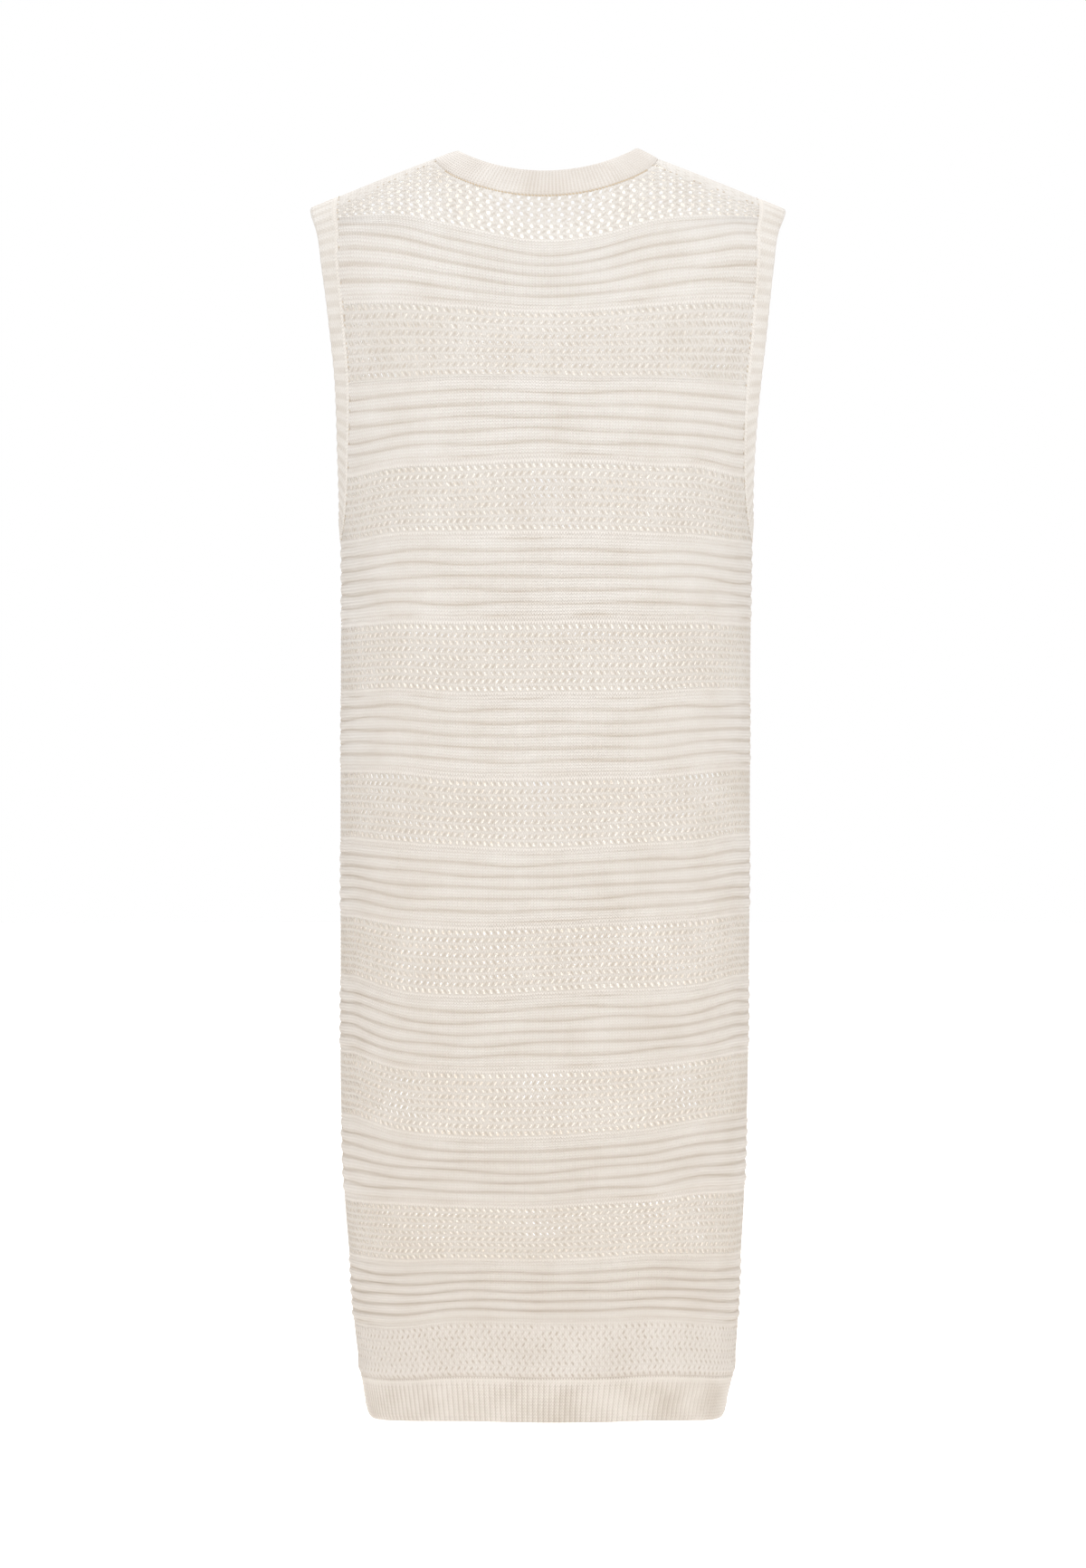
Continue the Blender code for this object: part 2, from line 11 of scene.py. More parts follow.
import bmesh
import bpy
import numpy as np
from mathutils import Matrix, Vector

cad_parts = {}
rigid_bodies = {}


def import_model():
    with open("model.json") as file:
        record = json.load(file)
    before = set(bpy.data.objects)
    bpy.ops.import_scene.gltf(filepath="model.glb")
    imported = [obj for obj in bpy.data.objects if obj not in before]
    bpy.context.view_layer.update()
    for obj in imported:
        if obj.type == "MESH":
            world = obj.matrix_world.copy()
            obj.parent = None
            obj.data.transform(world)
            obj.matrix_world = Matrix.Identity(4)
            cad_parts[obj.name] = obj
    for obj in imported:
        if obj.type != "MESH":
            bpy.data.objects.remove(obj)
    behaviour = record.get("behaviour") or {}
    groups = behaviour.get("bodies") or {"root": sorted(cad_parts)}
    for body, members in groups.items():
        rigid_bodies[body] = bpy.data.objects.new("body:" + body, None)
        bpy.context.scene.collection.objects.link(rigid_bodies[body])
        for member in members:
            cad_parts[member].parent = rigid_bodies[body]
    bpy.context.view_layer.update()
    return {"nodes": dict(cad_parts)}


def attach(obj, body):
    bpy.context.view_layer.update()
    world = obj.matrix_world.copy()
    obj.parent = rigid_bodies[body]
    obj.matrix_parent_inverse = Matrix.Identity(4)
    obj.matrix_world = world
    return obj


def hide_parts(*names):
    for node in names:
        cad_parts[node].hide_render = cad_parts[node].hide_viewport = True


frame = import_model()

print("nodes:", ", ".join(sorted(frame["nodes"])))

# %% [markdown]
# ## Camera, floor and light
# The photograph looks level at the middle of the back from far away, so the lens is long. The ground and
# the backdrop are white, and the light is soft from all round with a little more from above, which is what
# shows the welts: each one is light on top and dark just under it. Lamps inside the vest light the far wall,
# which is what the photograph shows through the holes of the net.

# %% Camera
PHOTO = (1200, 1732)
FOCUS = 6250  # focal length in pixels of the photograph
CAMERA_AT = (-0.0028, -5.0, -0.5392)
camera_data = bpy.data.cameras.new("camera")
camera_data.sensor_width = 36
camera_data.lens = FOCUS / PHOTO[1] * camera_data.sensor_width
camera = bpy.data.objects.new("camera", camera_data)
bpy.context.scene.collection.objects.link(camera)
camera.location = CAMERA_AT
camera.rotation_euler = (pi / 2, 0, 0)
bpy.context.scene.camera = camera
print("lens:", round(camera_data.lens, 1), "mm")

# %% Select nothing, or one piece
def select_only(*pieces):
    for item in list(bpy.context.selected_objects):
        item.select_set(False)
    for piece in pieces:
        piece.select_set(True)
        bpy.context.view_layer.objects.active = piece


# %% Floor
FLOOR_Z, FLOOR_RADIUS = -1.30, 26
select_only()
bpy.ops.mesh.primitive_circle_add(vertices=96, radius=FLOOR_RADIUS, fill_type="NGON",
                                  location=(0, 0, FLOOR_Z))
floor = bpy.context.object
floor.name = floor.data.name = "floor"
bpy.ops.object.transform_apply(location=True, rotation=True, scale=True)
print("floor:", FLOOR_Z, "m")

# %% World and lamps
WORLD_LIGHT = 1.0
world = bpy.data.worlds.new("white_studio")
bpy.context.scene.world = world
world.use_nodes = True
background = world.node_tree.nodes["Background"]
background.inputs["Color"].default_value = (1, 1, 1, 1)
background.inputs["Strength"].default_value = WORLD_LIGHT

COOL_LIGHT = (0.90, 0.96, 1.0)  # keeps white what is seen through the holes, in spite of the warm yarn
LAMPS = (  # name, at, towards, width, height, watts
    ("lamp_above", (0.3, -2.6, 2.6), (0, 0, -0.45), 1.6, 1.6, 60),
    ("lamp_above_front", (-0.3, 2.6, 2.6), (0, 0, -0.45), 1.6, 1.6, 60),
    ("lamp_inside", (0, 0, -0.617), (0, -1, -0.617), 0.30, 0.90, 1.40),
    ("lamp_inside_front", (0, 0, -0.617), (0, 1, -0.617), 0.30, 0.90, 1.40),
    ("lamp_yoke", (0, 0, -0.11), (0, -1, 0.05), 0.30, 0.05, 0.08),
    ("lamp_yoke_front", (0, 0, -0.11), (0, 1, 0.05), 0.30, 0.05, 0.08),
    ("lamp_shoulders", (0, 0, -0.12), (0, 0, 1), 0.30, 0.05, 0.25),
)
for name, at, towards, width, height, watts in LAMPS:
    lamp_data = bpy.data.lights.new(name, "AREA")
    lamp_data.shape = "RECTANGLE"
    lamp_data.size, lamp_data.size_y, lamp_data.energy = width, height, watts
    lamp_data.color = (1, 1, 1) if name.startswith("lamp_above") else COOL_LIGHT
    lamp = bpy.data.objects.new(name, lamp_data)
    bpy.context.scene.collection.objects.link(lamp)
    lamp.location = at
    lamp.rotation_euler = (Vector(towards) - Vector(at)).to_track_quat("-Z", "Y").to_euler()
    lamp.visible_camera = False
print("lamps:", len(LAMPS))

# %% Plain photograph colours
view = bpy.context.scene.view_settings
view.view_transform = "Standard"
view.look = "None"

# %% [markdown]
# ## The worn form
# Every piece of cloth lies on one smooth form: the shape that the vest has when it is worn. The level
# sections are rounded rectangles, and the shoulders round off below a sloping shoulder line. The tables hold
# the same sizes as the solids, so the cloth lands exactly on them. `turn` goes round the body from the middle
# of the back or front to the side, and `along` runs down the cloth from the shoulder line.

# %% Sizes, in metres
BACK, FRONT = -1, 1
SQUARE = 2 / 2.3  # 1 is an ellipse, smaller is squarer
CREST_TOP, CREST_SLOPE, CREST_ROUND = 0.062, 0.43, 0.060
SHOULDER_ROUND = 0.070
NECK_HALF, NECK_CURVE, NECK_BACK, NECK_FRONT, NECK_TILT = 0.0988, 1.25, -0.0278, -0.0600, 0.0012
RIM_HALF, RIM_SIDE, RIM_BACK, RIM_FRONT, RIM_CURVE = 0.0785, 0.0212, -0.0043, -0.0370, 1.65
RIM_DEPTH_BACK, RIM_DEPTH_FRONT, RIM_X = 0.067, 0.076, 0.0012
ARM_BAND, ARM_X, ARM_X_LOW, ARM_TURN = 0.0176, 0.200, 0.1815, radians(24)
ARM_TAPER_Z, ARM_SEAM_Z, ARM_LEVEL = -0.170, -0.3245, 0.130
HEM_TOP, HEM_EDGE = 1.0515, 1.0924
SEAM = 0.0003
SHOULDER_SEAMS = {  # by the sign of x: drop at the neck, drop at the armhole, angle of the neck's corner
    -1: (0.0080, 0.0120, radians(80)),
    1: (0.0150, 0.0080, radians(71)),
}

# %% The form at each drop below the origin
FORM_COLUMNS = ("drop", "half_width", "drift", "back", "front")
FORM = (
    (-0.030, 0.2290, 0.0016, 0.066, 0.068),
    (0.000, 0.2285, 0.0016, 0.073, 0.075),
    (0.038, 0.2262, 0.0016, 0.085, 0.089),
    (0.054, 0.2203, 0.0012, 0.090, 0.096),
    (0.086, 0.2150, 0.0012, 0.099, 0.107),
    (0.118, 0.2106, 0.0016, 0.107, 0.117),
    (0.150, 0.2067, 0.0018, 0.113, 0.124),
    (0.182, 0.2027, 0.0016, 0.117, 0.128),
    (0.214, 0.1985, 0.0008, 0.120, 0.130),
    (0.246, 0.1936, 0.0000, 0.1215, 0.130),
    (0.278, 0.1878, -0.0002, 0.122, 0.129),
    (0.310, 0.1824, 0.0000, 0.122, 0.127),
    (0.342, 0.1808, 0.0002, 0.1215, 0.125),
    (0.420, 0.1803, -0.0004, 0.120, 0.122),
    (0.550, 0.1802, -0.0008, 0.119, 0.120),
    (0.700, 0.1798, -0.0012, 0.121, 0.121),
    (0.820, 0.1788, -0.0018, 0.123, 0.122),
    (0.900, 0.1760, -0.0016, 0.123, 0.122),
    (0.950, 0.1726, -0.0010, 0.122, 0.121),
    (1.014, 0.1688, -0.0002, 0.119, 0.118),
    (1.046, 0.1656, 0.0006, 0.115, 0.114),
    (1.066, 0.1625, 0.0006, 0.111, 0.110),
    (1.080, 0.1597, 0.0000, 0.108, 0.107),
    (1.092, 0.1575, 0.0000, 0.106, 0.105),
    (1.100, 0.1535, 0.0000, 0.103, 0.102),
)

# %% How the courses hang, in millimetres above their own middle, at eight places across
HANG_AT = (-0.167, -0.131, -0.083, 0.000, 0.045, 0.093, 0.133, 0.165)
HANG_COLUMNS = ("course", "left3", "left2", "left1", "middle", "right1", "right2", "right3", "right4")
HANG = (
    (0.066, 24, 25, 15, 0, 5, 19, 24, 24),
    (0.079, 31, 27, 15, 0, 5, 19, 26, 31),
    (0.128, 12, 11, 6, 0, 2, 7, 11, 13),
    (0.200, -4, -2, 0, 0, -1, -1, -2, -3),
    (0.255, -10, -4, -3, 0, -1, -3, -4, -10),
    (0.338, -4, 0, 0, 0, 0, -1, -2, -4),
    (0.395, -1, 1, 0, 0, 1, 0, 1, 0),
    (0.475, 3, 4, 0, 0, 0, 1, 4, 5),
    (0.531, 7, 6, 1, 0, 1, 2, 6, 9),
    (0.610, 9, 5, 2, 0, 2, 5, 7, 12),
    (0.659, 8, 2, -1, 0, 2, 4, 6, 10),
    (0.733, 13, 1, -3, 0, 2, 3, 6, 13),
    (0.783, 13, 2, -1, 0, 1, 4, 8, 13),
    (0.855, 13, 4, 0, 0, 3, 7, 13, 15),
    (0.900, 1, 1, 0, 0, 3, 5, 10, 9),
    (0.961, -3, -4, 0, 0, 1, 3, 0, -3),
    (1.001, -8, -7, 0, 0, 0, 1, -3, -9),
    (1.0515, -7, -5, 0, 0, 0, 1, -2, -7),
    (1.0924, -7, -3, 0, 0, 0, 0, -3, -7),
)

# %% Smooth curves through the tables
def curve(places, values):
    """Smooth curve through a table's values, level beyond its ends."""
    places, values = np.asarray(places, float), np.asarray(values, float)
    slopes = np.gradient(values, places)

    def read(x):
        i = np.clip(np.searchsorted(places, x) - 1, 0, len(places) - 2)
        step = places[i + 1] - places[i]
        t = np.clip((x - places[i]) / step, 0, 1)
        start = (1 + 2 * t) * (1 - t) ** 2 * values[i] + t * (1 - t) ** 2 * step * slopes[i]
        end = t**2 * (3 - 2 * t) * values[i + 1] + t**2 * (t - 1) * step * slopes[i + 1]
        return start + end

    return read


def table_curves(table, columns):
    places = [row[0] for row in table]
    return {name: curve(places, [row[i + 1] for row in table]) for i, name in enumerate(columns[1:])}


FORM_CURVES = table_curves(FORM, FORM_COLUMNS)
HANG_CURVES = table_curves(HANG, HANG_COLUMNS)


def form_size(name, z):
    return FORM_CURVES[name](-np.asarray(z, float))


def grid_reader(rows, columns, values):
    """Reads the grid of values at (row, column) by straight lines between its even points."""
    def read(row, column):
        i = np.clip((row - rows[0]) / (rows[1] - rows[0]), 0, len(rows) - 1.001)
        j = np.clip((column - columns[0]) / (columns[1] - columns[0]), 0, len(columns) - 1.001)
        i0, j0 = i.astype(int), j.astype(int)
        u, v = i - i0, j - j0
        upper = values[i0, j0] * (1 - v) + values[i0, j0 + 1] * v
        lower = values[i0 + 1, j0] * (1 - v) + values[i0 + 1, j0 + 1] * v
        return upper * (1 - u) + lower * u

    return read


COURSES_READ, X_READ = np.linspace(0.04, 1.10, 266), np.linspace(-0.24, 0.24, 121)
HANG_READ = np.array([curve(HANG_AT, [c(course) for c in HANG_CURVES.values()])(X_READ) / 1000
                      for course in COURSES_READ])
hang = grid_reader(COURSES_READ, X_READ, HANG_READ)
print("hang: from", round(HANG_READ.min() * 1000), "to", round(HANG_READ.max() * 1000), "mm")

# %% The form's outer face
def crest(x):
    """Height of the shoulder line."""
    return CREST_TOP - CREST_SLOPE * np.hypot(x, CREST_ROUND)


def rounding(x):
    """Height over which the form rounds off below the shoulder line."""
    t = np.clip(np.abs(x) / NECK_HALF, 0.02, 1)
    return SHOULDER_ROUND * t * t * (3 - 2 * t)


def along_cloth(fall, x):
    """Distance down the cloth from the shoulder line to a point that lies fall below it."""
    arc = rounding(x) * np.arccos(np.clip(1 - fall / rounding(x), 0, 1))
    return arc + np.maximum(fall - rounding(x), 0)


def reach_of(turn):
    return np.sign(np.sin(turn)) * np.abs(np.sin(turn)) ** SQUARE


def on_form(side, turn, along):
    """Point of the form's outer face. Where along is below zero, it lies on the other side."""
    turn, along = np.broadcast_arrays(np.asarray(turn, float), np.asarray(along, float))
    face = side * np.where(along < 0, -1, 1) * np.where(np.cos(turn) < 0, -1, 1)
    z = -0.03 - np.abs(along)
    for _ in range(7):
        x = form_size("drift", z) + form_size("half_width", z) * reach_of(turn)
        bend = np.minimum(np.abs(along) / rounding(x), pi / 2)
        z = crest(x) - rounding(x) * (1 - np.cos(bend)) - np.maximum(np.abs(along) - rounding(x) * pi / 2, 0)
    depth = np.where(face < 0, form_size("back", z), form_size("front", z))
    y = face * depth * np.abs(np.cos(turn)) ** SQUARE * np.sin(bend)
    return np.stack([x, y, z], axis=-1)


def outward(side, turn, along):
    """Unit vector out of the form's outer face."""
    step = 0.004
    across = on_form(side, turn + step, along) - on_form(side, turn - step, along)
    down = on_form(side, turn, along + step / 4) - on_form(side, turn, along - step / 4)
    normal = side * np.cross(across, down)
    return normal / np.linalg.norm(normal, axis=-1, keepdims=True)


# %% Seams of the form: armhole, neckline and shoulder
def turn_of(x, z):
    share = (x - form_size("drift", z)) / form_size("half_width", z)
    return np.sign(share) * np.arcsin(np.clip(np.abs(share), 0, 1) ** (1 / SQUARE))


BAND_HEIGHTS = np.linspace(ARM_SEAM_Z, 0, 14)
BAND_ALONG = along_cloth(np.maximum(crest(ARM_X) - BAND_HEIGHTS, 0), ARM_X)
BAND_ENDS = [on_form(BACK, pi / 2 - ARM_TURN + reach, BAND_ALONG) for reach in (-0.05, 0.05)]
BAND_TURNS = ARM_BAND * 0.1 / np.linalg.norm(BAND_ENDS[1] - BAND_ENDS[0], axis=-1)
UNDER_ARM = float(along_cloth(crest(ARM_X_LOW) - ARM_SEAM_Z, ARM_X_LOW))


def arm_seam_turn(z):
    """Turn of the armhole seam at height z, and under the arm that of the side seam."""
    share = np.clip((ARM_TAPER_Z - z) / (ARM_TAPER_Z - ARM_SEAM_Z), 0, 1)
    width = ARM_TURN + np.interp(z, BAND_HEIGHTS, BAND_TURNS)
    side_gap = (SEAM / 2 / form_size("back", z)) ** (1 / SQUARE)
    return pi / 2 - np.maximum(width * np.sqrt(1 - share**2), side_gap)


def neck_height(angle):
    """Height of the neckline, from the middle of the back (0) round to the middle of the front (pi)."""
    middle = NECK_BACK if cos(angle) > 0 else NECK_FRONT
    rise = crest(NECK_HALF) - middle
    return middle + rise * (1 - abs(cos(angle)) ** NECK_CURVE) + NECK_TILT * sin(angle) * abs(cos(angle))


def neck_point(side, angle):
    """(turn, along) of a point of the neckline, as the piece on that side counts it."""
    x, z = NECK_HALF * sin(angle), neck_height(angle)
    along = float(along_cloth(max(crest(x) - z, 0), x))
    return float(turn_of(x, z)), along if cos(angle) * side <= 0 else -along


def shoulder_line(side, sign, count=24):
    """(turn, along) arrays along the shoulder seam, from the neck to the armhole."""
    at_neck, at_arm, corner_angle = SHOULDER_SEAMS[sign]
    corner_turn, corner_along = neck_point(BACK, sign * corner_angle)
    neck_turn = abs(corner_turn)
    turns, alongs = [], []
    for share in np.linspace(0, 1, count):
        fall, turn = at_neck + (at_arm - at_neck) * share, neck_turn
        for _ in range(6):
            x, _, z = on_form(BACK, sign * turn, along_cloth(fall, 0.15))
            turn = neck_turn + (float(arm_seam_turn(z)) - neck_turn) * share
        turns.append(sign * turn)
        alongs.append(float(along_cloth(fall, x)))
    alongs = np.array(alongs)
    alongs += (corner_along - alongs[0]) * (1 - np.linspace(0, 1, count)) ** 2
    return np.array(turns), alongs * -side


print("neckline: back", round(neck_height(0), 4), "front", round(neck_height(pi), 4))

# %% [markdown]
# ## Cream yarn
# The yarn is a matt cream. Fine stitches, about two millimetres across, are too small and too many to model,
# so they are a bump in the material that follows the cloth's own UV map. Painted shade makes the colour a
# little warmer and darker deep in the grooves, and painted light makes it lighter on the crests.

# %% Sums inside a material
class Value:
    """A value inside a material's node tree, so that sums can be written as sums."""

    def __init__(self, tree, socket):
        self.tree, self.socket = tree, socket

    def sum(self, operation, *values):
        return add_node(self.tree, "ShaderNodeMath", {"operation": operation}, dict(enumerate(values)))

    def fraction(self):
        return self.sum("FRACT", self)

    def __add__(self, other):
        return self.sum("ADD", self, other)

    def __radd__(self, other):
        return self.sum("ADD", other, self)

    def __sub__(self, other):
        return self.sum("SUBTRACT", self, other)

    def __rsub__(self, other):
        return self.sum("SUBTRACT", other, self)

    def __mul__(self, other):
        return self.sum("MULTIPLY", self, other)

    def __rmul__(self, other):
        return self.sum("MULTIPLY", other, self)

    def __truediv__(self, other):
        return self.sum("DIVIDE", self, other)

    def __rtruediv__(self, other):
        return self.sum("DIVIDE", other, self)

    def __pow__(self, other):
        return self.sum("POWER", self, other)

    def __rpow__(self, other):
        return self.sum("POWER", other, self)


def add_node(tree, kind, settings=None, values=None, output=0):
    """Adds a node, sets it, joins its inputs and returns one of its outputs."""
    node = tree.nodes.new(kind)
    for name, setting in (settings or {}).items():
        setattr(node, name, setting)
    for name, value in (values or {}).items():
        if isinstance(value, Value):
            tree.links.new(value.socket, node.inputs[name])
        else:
            node.inputs[name].default_value = value
    return Value(tree, node.outputs[output])


# %% A material with a plain finish
YARN_FINISH = {"Roughness": 0.9, "Specular IOR Level": 0.2}


def new_material(name, finish):
    """A new material and its shader, with the finish set on the shader's sockets."""
    material = bpy.data.materials.new(name)
    material.use_nodes = True
    shader = material.node_tree.nodes["Principled BSDF"]
    for socket, value in finish.items():
        shader.inputs[socket].default_value = value
    return material, shader


# %% Knitted yarn
def crossing_shadows(column, down, wales, stitches):
    """Painted shadow spots between the holes of a row of net, where strands cross. A cell is so many wales
    and stitches.
    """
    cell, row = column / wales, down / stitches
    odd = row.sum("GREATER_THAN", (0.5 * row).fraction(), 0.5)
    level = row.fraction() - 0.5
    beside = cell - 0.39 + 0.28 * odd
    across = beside.fraction() - 0.5 + (2 * odd - 1) * 0.5 * level
    spot = 1 - (across * 4.2) ** 2 - (level * 2.3) ** 2
    return spot.sum("MAXIMUM", spot, 0)


LOW_PAINTED_SHADE = (1.0, 0.965, 0.925)  # painted shade: the yarn is painted a little darker and warmer at the hem than at the shoulders


def knit_material(name, lit_colour, shaded_colour, slope, bump, depth, mottle, holes):
    """One unit of the UV map is one stitch. slope is how steep its legs are, depth how much painted shade
    lies between them, and mottle how uneven the cloth is. holes is a cell's wales, its rows of stitches, and
    how dark the painted shadow is where strands cross."""
    material, shader = new_material(name, YARN_FINISH)
    tree = material.node_tree
    flat_place = add_node(tree, "ShaderNodeUVMap", {"uv_map": "stitches"})
    place = add_node(tree, "ShaderNodeTexCoord", output=3)

    def part(vector, axis):
        return add_node(tree, "ShaderNodeSeparateXYZ", values={0: vector}, output=axis)

    def noise(scale, detail):
        values = {"Vector": place, "Scale": scale, "Detail": detail}
        return add_node(tree, "ShaderNodeTexNoise", values=values)

    def mix(factor, first, second, blend="MIX"):
        settings = {"data_type": "RGBA", "blend_type": blend, "clamp_factor": True}
        return add_node(tree, "ShaderNodeMix", settings, {0: factor, 6: first, 7: second}, output=2)

    drift = noise(90, 2)
    flat_column, flat_down = part(flat_place, 0), part(flat_place, 1)
    column, down = flat_column + 0.35 * drift, flat_down + 0.5 * drift
    middle = column.fraction() - 0.5
    leg = 2 * middle.sum("ABSOLUTE", middle)
    stitch = (down + slope * leg).fraction()
    loop = (4 * stitch * (1 - stitch)) ** 0.6 * (1 - 0.55 * leg**3)
    # The height attribute carries painted light and shade: low for painted shade in grooves, round holes and
    # in creases, high for painted light on crests and strands.
    height = add_node(tree, "ShaderNodeAttribute", {"attribute_name": "height"}, output=2)
    patch, fuzz = noise(26, 5), noise(1300, 2)
    shade = 0.5 * height + depth * (loop - 0.1) + mottle * (patch - 0.5) + 0.45 * (fuzz - 0.5)
    if holes:
        wales, stitches, beside = holes
        shade = shade - beside * crossing_shadows(flat_column, flat_down, wales, stitches) * (4 * noise(170, 1) - 1)
    # Painted shade: the colour is made darker and warmer towards the hem.
    low_shade = mix(-1 * part(place, 2), (1, 1, 1, 1), (*LOW_PAINTED_SHADE, 1))
    # The colour mixes the yarn's lit colour, which is painted light, with its shaded colour, which is painted
    # shade.
    colour = mix(1.0, mix(shade, (*shaded_colour, 1), (*lit_colour, 1)), low_shade, "MULTIPLY")
    relief = {"Strength": 1.0, "Distance": bump, "Height": loop + 0.5 * fuzz}
    tree.links.new(colour.socket, shader.inputs["Base Color"])
    tree.links.new(add_node(tree, "ShaderNodeBump", values=relief).socket, shader.inputs["Normal"])
    return material


# %% The yarns
WALES, YOKE_WALES = 2.5, 3.1  # columns of stitches in a cell of net, and of the yoke
NET_STITCHES, YOKE_STITCHES, WELT_STITCHES = 1.5, 1.2, 4  # in a row of net, in a row of the yoke, in a welt
NET, YOKE = (WALES, NET_STITCHES), (YOKE_WALES, YOKE_STITCHES)
# Each yarn's first colour is painted light for its crests and its second is painted shade for its grooves;
# the last number of holes is how dark the painted shadow is where strands cross.
KNITTED = {  # light, deep, slope, bump, depth, mottle, holes
    "welts": ((0.787, 0.766, 0.742), (0.525, 0.457, 0.387), 0.6, 0.0007, 0.29, 0.4, None),
    "net": ((0.772, 0.765, 0.754), (0.510, 0.458, 0.400), 1.1, 0.0003, 0.20, 0.35, (*NET, 0.36)),
    "low_net": ((0.785, 0.758, 0.730), (0.530, 0.465, 0.400), 1.1, 0.0005, 0.50, 0.4, (*NET, 0.45)),
    "yoke": ((0.760, 0.745, 0.722), (0.545, 0.500, 0.450), 1.1, 0.0003, 0.20, 0.5, (*YOKE, 0.35)),
    "neck": ((0.735, 0.710, 0.682), (0.525, 0.470, 0.415), 0.8, 0.0003, 0.32, 0.9, None),
    "arm": ((0.762, 0.740, 0.712), (0.550, 0.498, 0.440), 0.8, 0.0004, 0.30, 0.8, None),
    "hem": ((0.765, 0.728, 0.688), (0.430, 0.366, 0.300), 0.8, 0.0006, 0.80, 1.1, None),
}
# The seam and tight yarns are dark tan: their stitches are real, and the dark tan also paints the shade in
# the lines where they sink between the pieces.
PLAIN = {"seam": (0.52, 0.42, 0.30), "tight": (0.52, 0.44, 0.35), "chain": (0.72, 0.675, 0.625)}
YARNS = {name: knit_material(name + "_yarn", *row) for name, row in KNITTED.items()}
for name, colour in PLAIN.items():
    YARNS[name], _ = new_material(name + "_yarn", {"Base Color": (*colour, 1), **YARN_FINISH})
print("yarns:", ", ".join(YARNS))

# %% [markdown]
# ## Knitting in the flat
# Knitted cloth is made of columns of stitches, so a piece is first laid out flat: x counts the net's cells
# across, y counts rows, and z is how far the cloth stands out. Then every point is carried to the form.
# Every column keeps its share of the way round the body, as real columns of stitches do. Where the
# cloth ends at an armhole, a neckline or a shoulder seam, the points beyond are pulled back to the seam.

# %% Columns of stitches on the form
CELLS, YOKE_CELLS = 40, 32  # from the middle of the back to the side seam, and on the yoke's first row
PANEL_WIDTH = 0.547  # round the back or the front, from side seam to side seam
Z_READ, SHARE_READ = np.linspace(-1.11, -0.04, 215), np.linspace(0, 1, 101)


def turns_for_shares(z):
    """Turns that cut the level section at height z into even lengths of cloth."""
    turn = np.linspace(0, pi / 2, 241)
    x = form_size("half_width", z) * np.sin(turn) ** SQUARE
    y = form_size("back", max(-z, 0.16) * -1.0) * np.cos(turn) ** SQUARE
    length = np.concatenate(([0], np.cumsum(np.hypot(np.diff(x), np.diff(y)))))
    return np.interp(SHARE_READ, length / length[-1], turn)


turn_at = grid_reader(Z_READ, SHARE_READ, np.array([turns_for_shares(z) for z in Z_READ]))


def chart(share, course):
    """(turn, along) of a point that lies at a share of the way to the side seam, on a course."""
    z = -course
    for _ in range(7):
        turn = np.sign(share) * np.minimum(turn_at(z, np.abs(share)), pi / 2 - 0.0005)
        x = form_size("drift", z) + form_size("half_width", z) * reach_of(turn)
        z = -course + hang(course, x)
    return turn, along_cloth(np.maximum(crest(x) - z, 0), x), z


def seam_share(courses, sign):
    """Shares at which some courses meet the armhole seam or the side seam."""
    found = []
    share = np.linspace(0.3, 1, 281) * sign
    for course in courses:
        turn, _, z = chart(share, np.full(len(share), course))
        beyond = np.abs(turn) > arm_seam_turn(z)
        found.append(abs(share[np.argmax(beyond)]) if beyond.any() else 1.0)
    return np.array(found)


print("cell width in the body:", round(0.5 * PANEL_WIDTH / CELLS * 1000, 2), "mm")

# %% Draw on a piece in edit mode
def edit(piece, what, selected="DESELECT"):
    """Opens a piece for editing with nothing selected, or with "SELECT" all of it."""
    select_only(piece)
    bpy.ops.object.mode_set(mode="EDIT")
    bpy.ops.mesh.select_mode(type=what)
    bpy.ops.mesh.select_all(action=selected)
    return bmesh.from_edit_mesh(piece.data)


def close_edit(piece):
    bpy.ops.object.mode_set(mode="OBJECT")
    return piece


def flat_grid(name, columns, rows):
    """A flat grid with a unit between its points: x from 0 to columns, y from 0 to -rows."""
    select_only()
    bpy.ops.mesh.primitive_grid_add(x_subdivisions=columns, y_subdivisions=rows, size=1)
    piece = bpy.context.object
    piece.name = piece.data.name = name
    points = read_points(piece)
    points[:, 0] = np.round((points[:, 0] + 0.5) * columns)
    points[:, 1] = np.round((points[:, 1] - 0.5) * rows)
    write_points(piece, points)
    return piece


def read_points(piece):
    points = np.empty(len(piece.data.vertices) * 3)
    piece.data.vertices.foreach_get("co", points)
    return points.reshape(-1, 3)


def write_points(piece, points):
    piece.data.vertices.foreach_set("co", np.ascontiguousarray(points, np.float32).ravel())
    piece.data.update()


# %% Cut a flat piece to an outline
SNAP = 0.3  # in cells: points this near to the outline move onto it
MERGED = 0.03
SLIVER = 0.02  # area under which a face is taken out


def nearest_on(outline, points):
    """Nearest point of a closed outline to each point, and whether each point lies inside it."""
    start, end = outline, np.roll(outline, -1, axis=0)
    way = end - start
    length = np.maximum((way**2).sum(axis=1), 1e-12)
    offset = points[:, None, :] - start[None]
    t = np.clip((offset * way).sum(axis=2) / length, 0, 1)
    on_line = start[None] + t[..., None] * way[None]
    distance = np.linalg.norm(points[:, None, :] - on_line, axis=2)
    best = distance.argmin(axis=1)
    x, y = points[:, :1], points[:, 1:]
    spans = (start[:, 1] > y) != (end[:, 1] > y)
    rise = np.where(way[:, 1] == 0, 1e-12, way[:, 1])
    passed = (spans & (x < start[:, 0] + (y - start[:, 1]) * way[:, 0] / rise)).sum(axis=1)
    every = np.arange(len(points))
    return on_line[every, best], distance[every, best], passed % 2 == 1


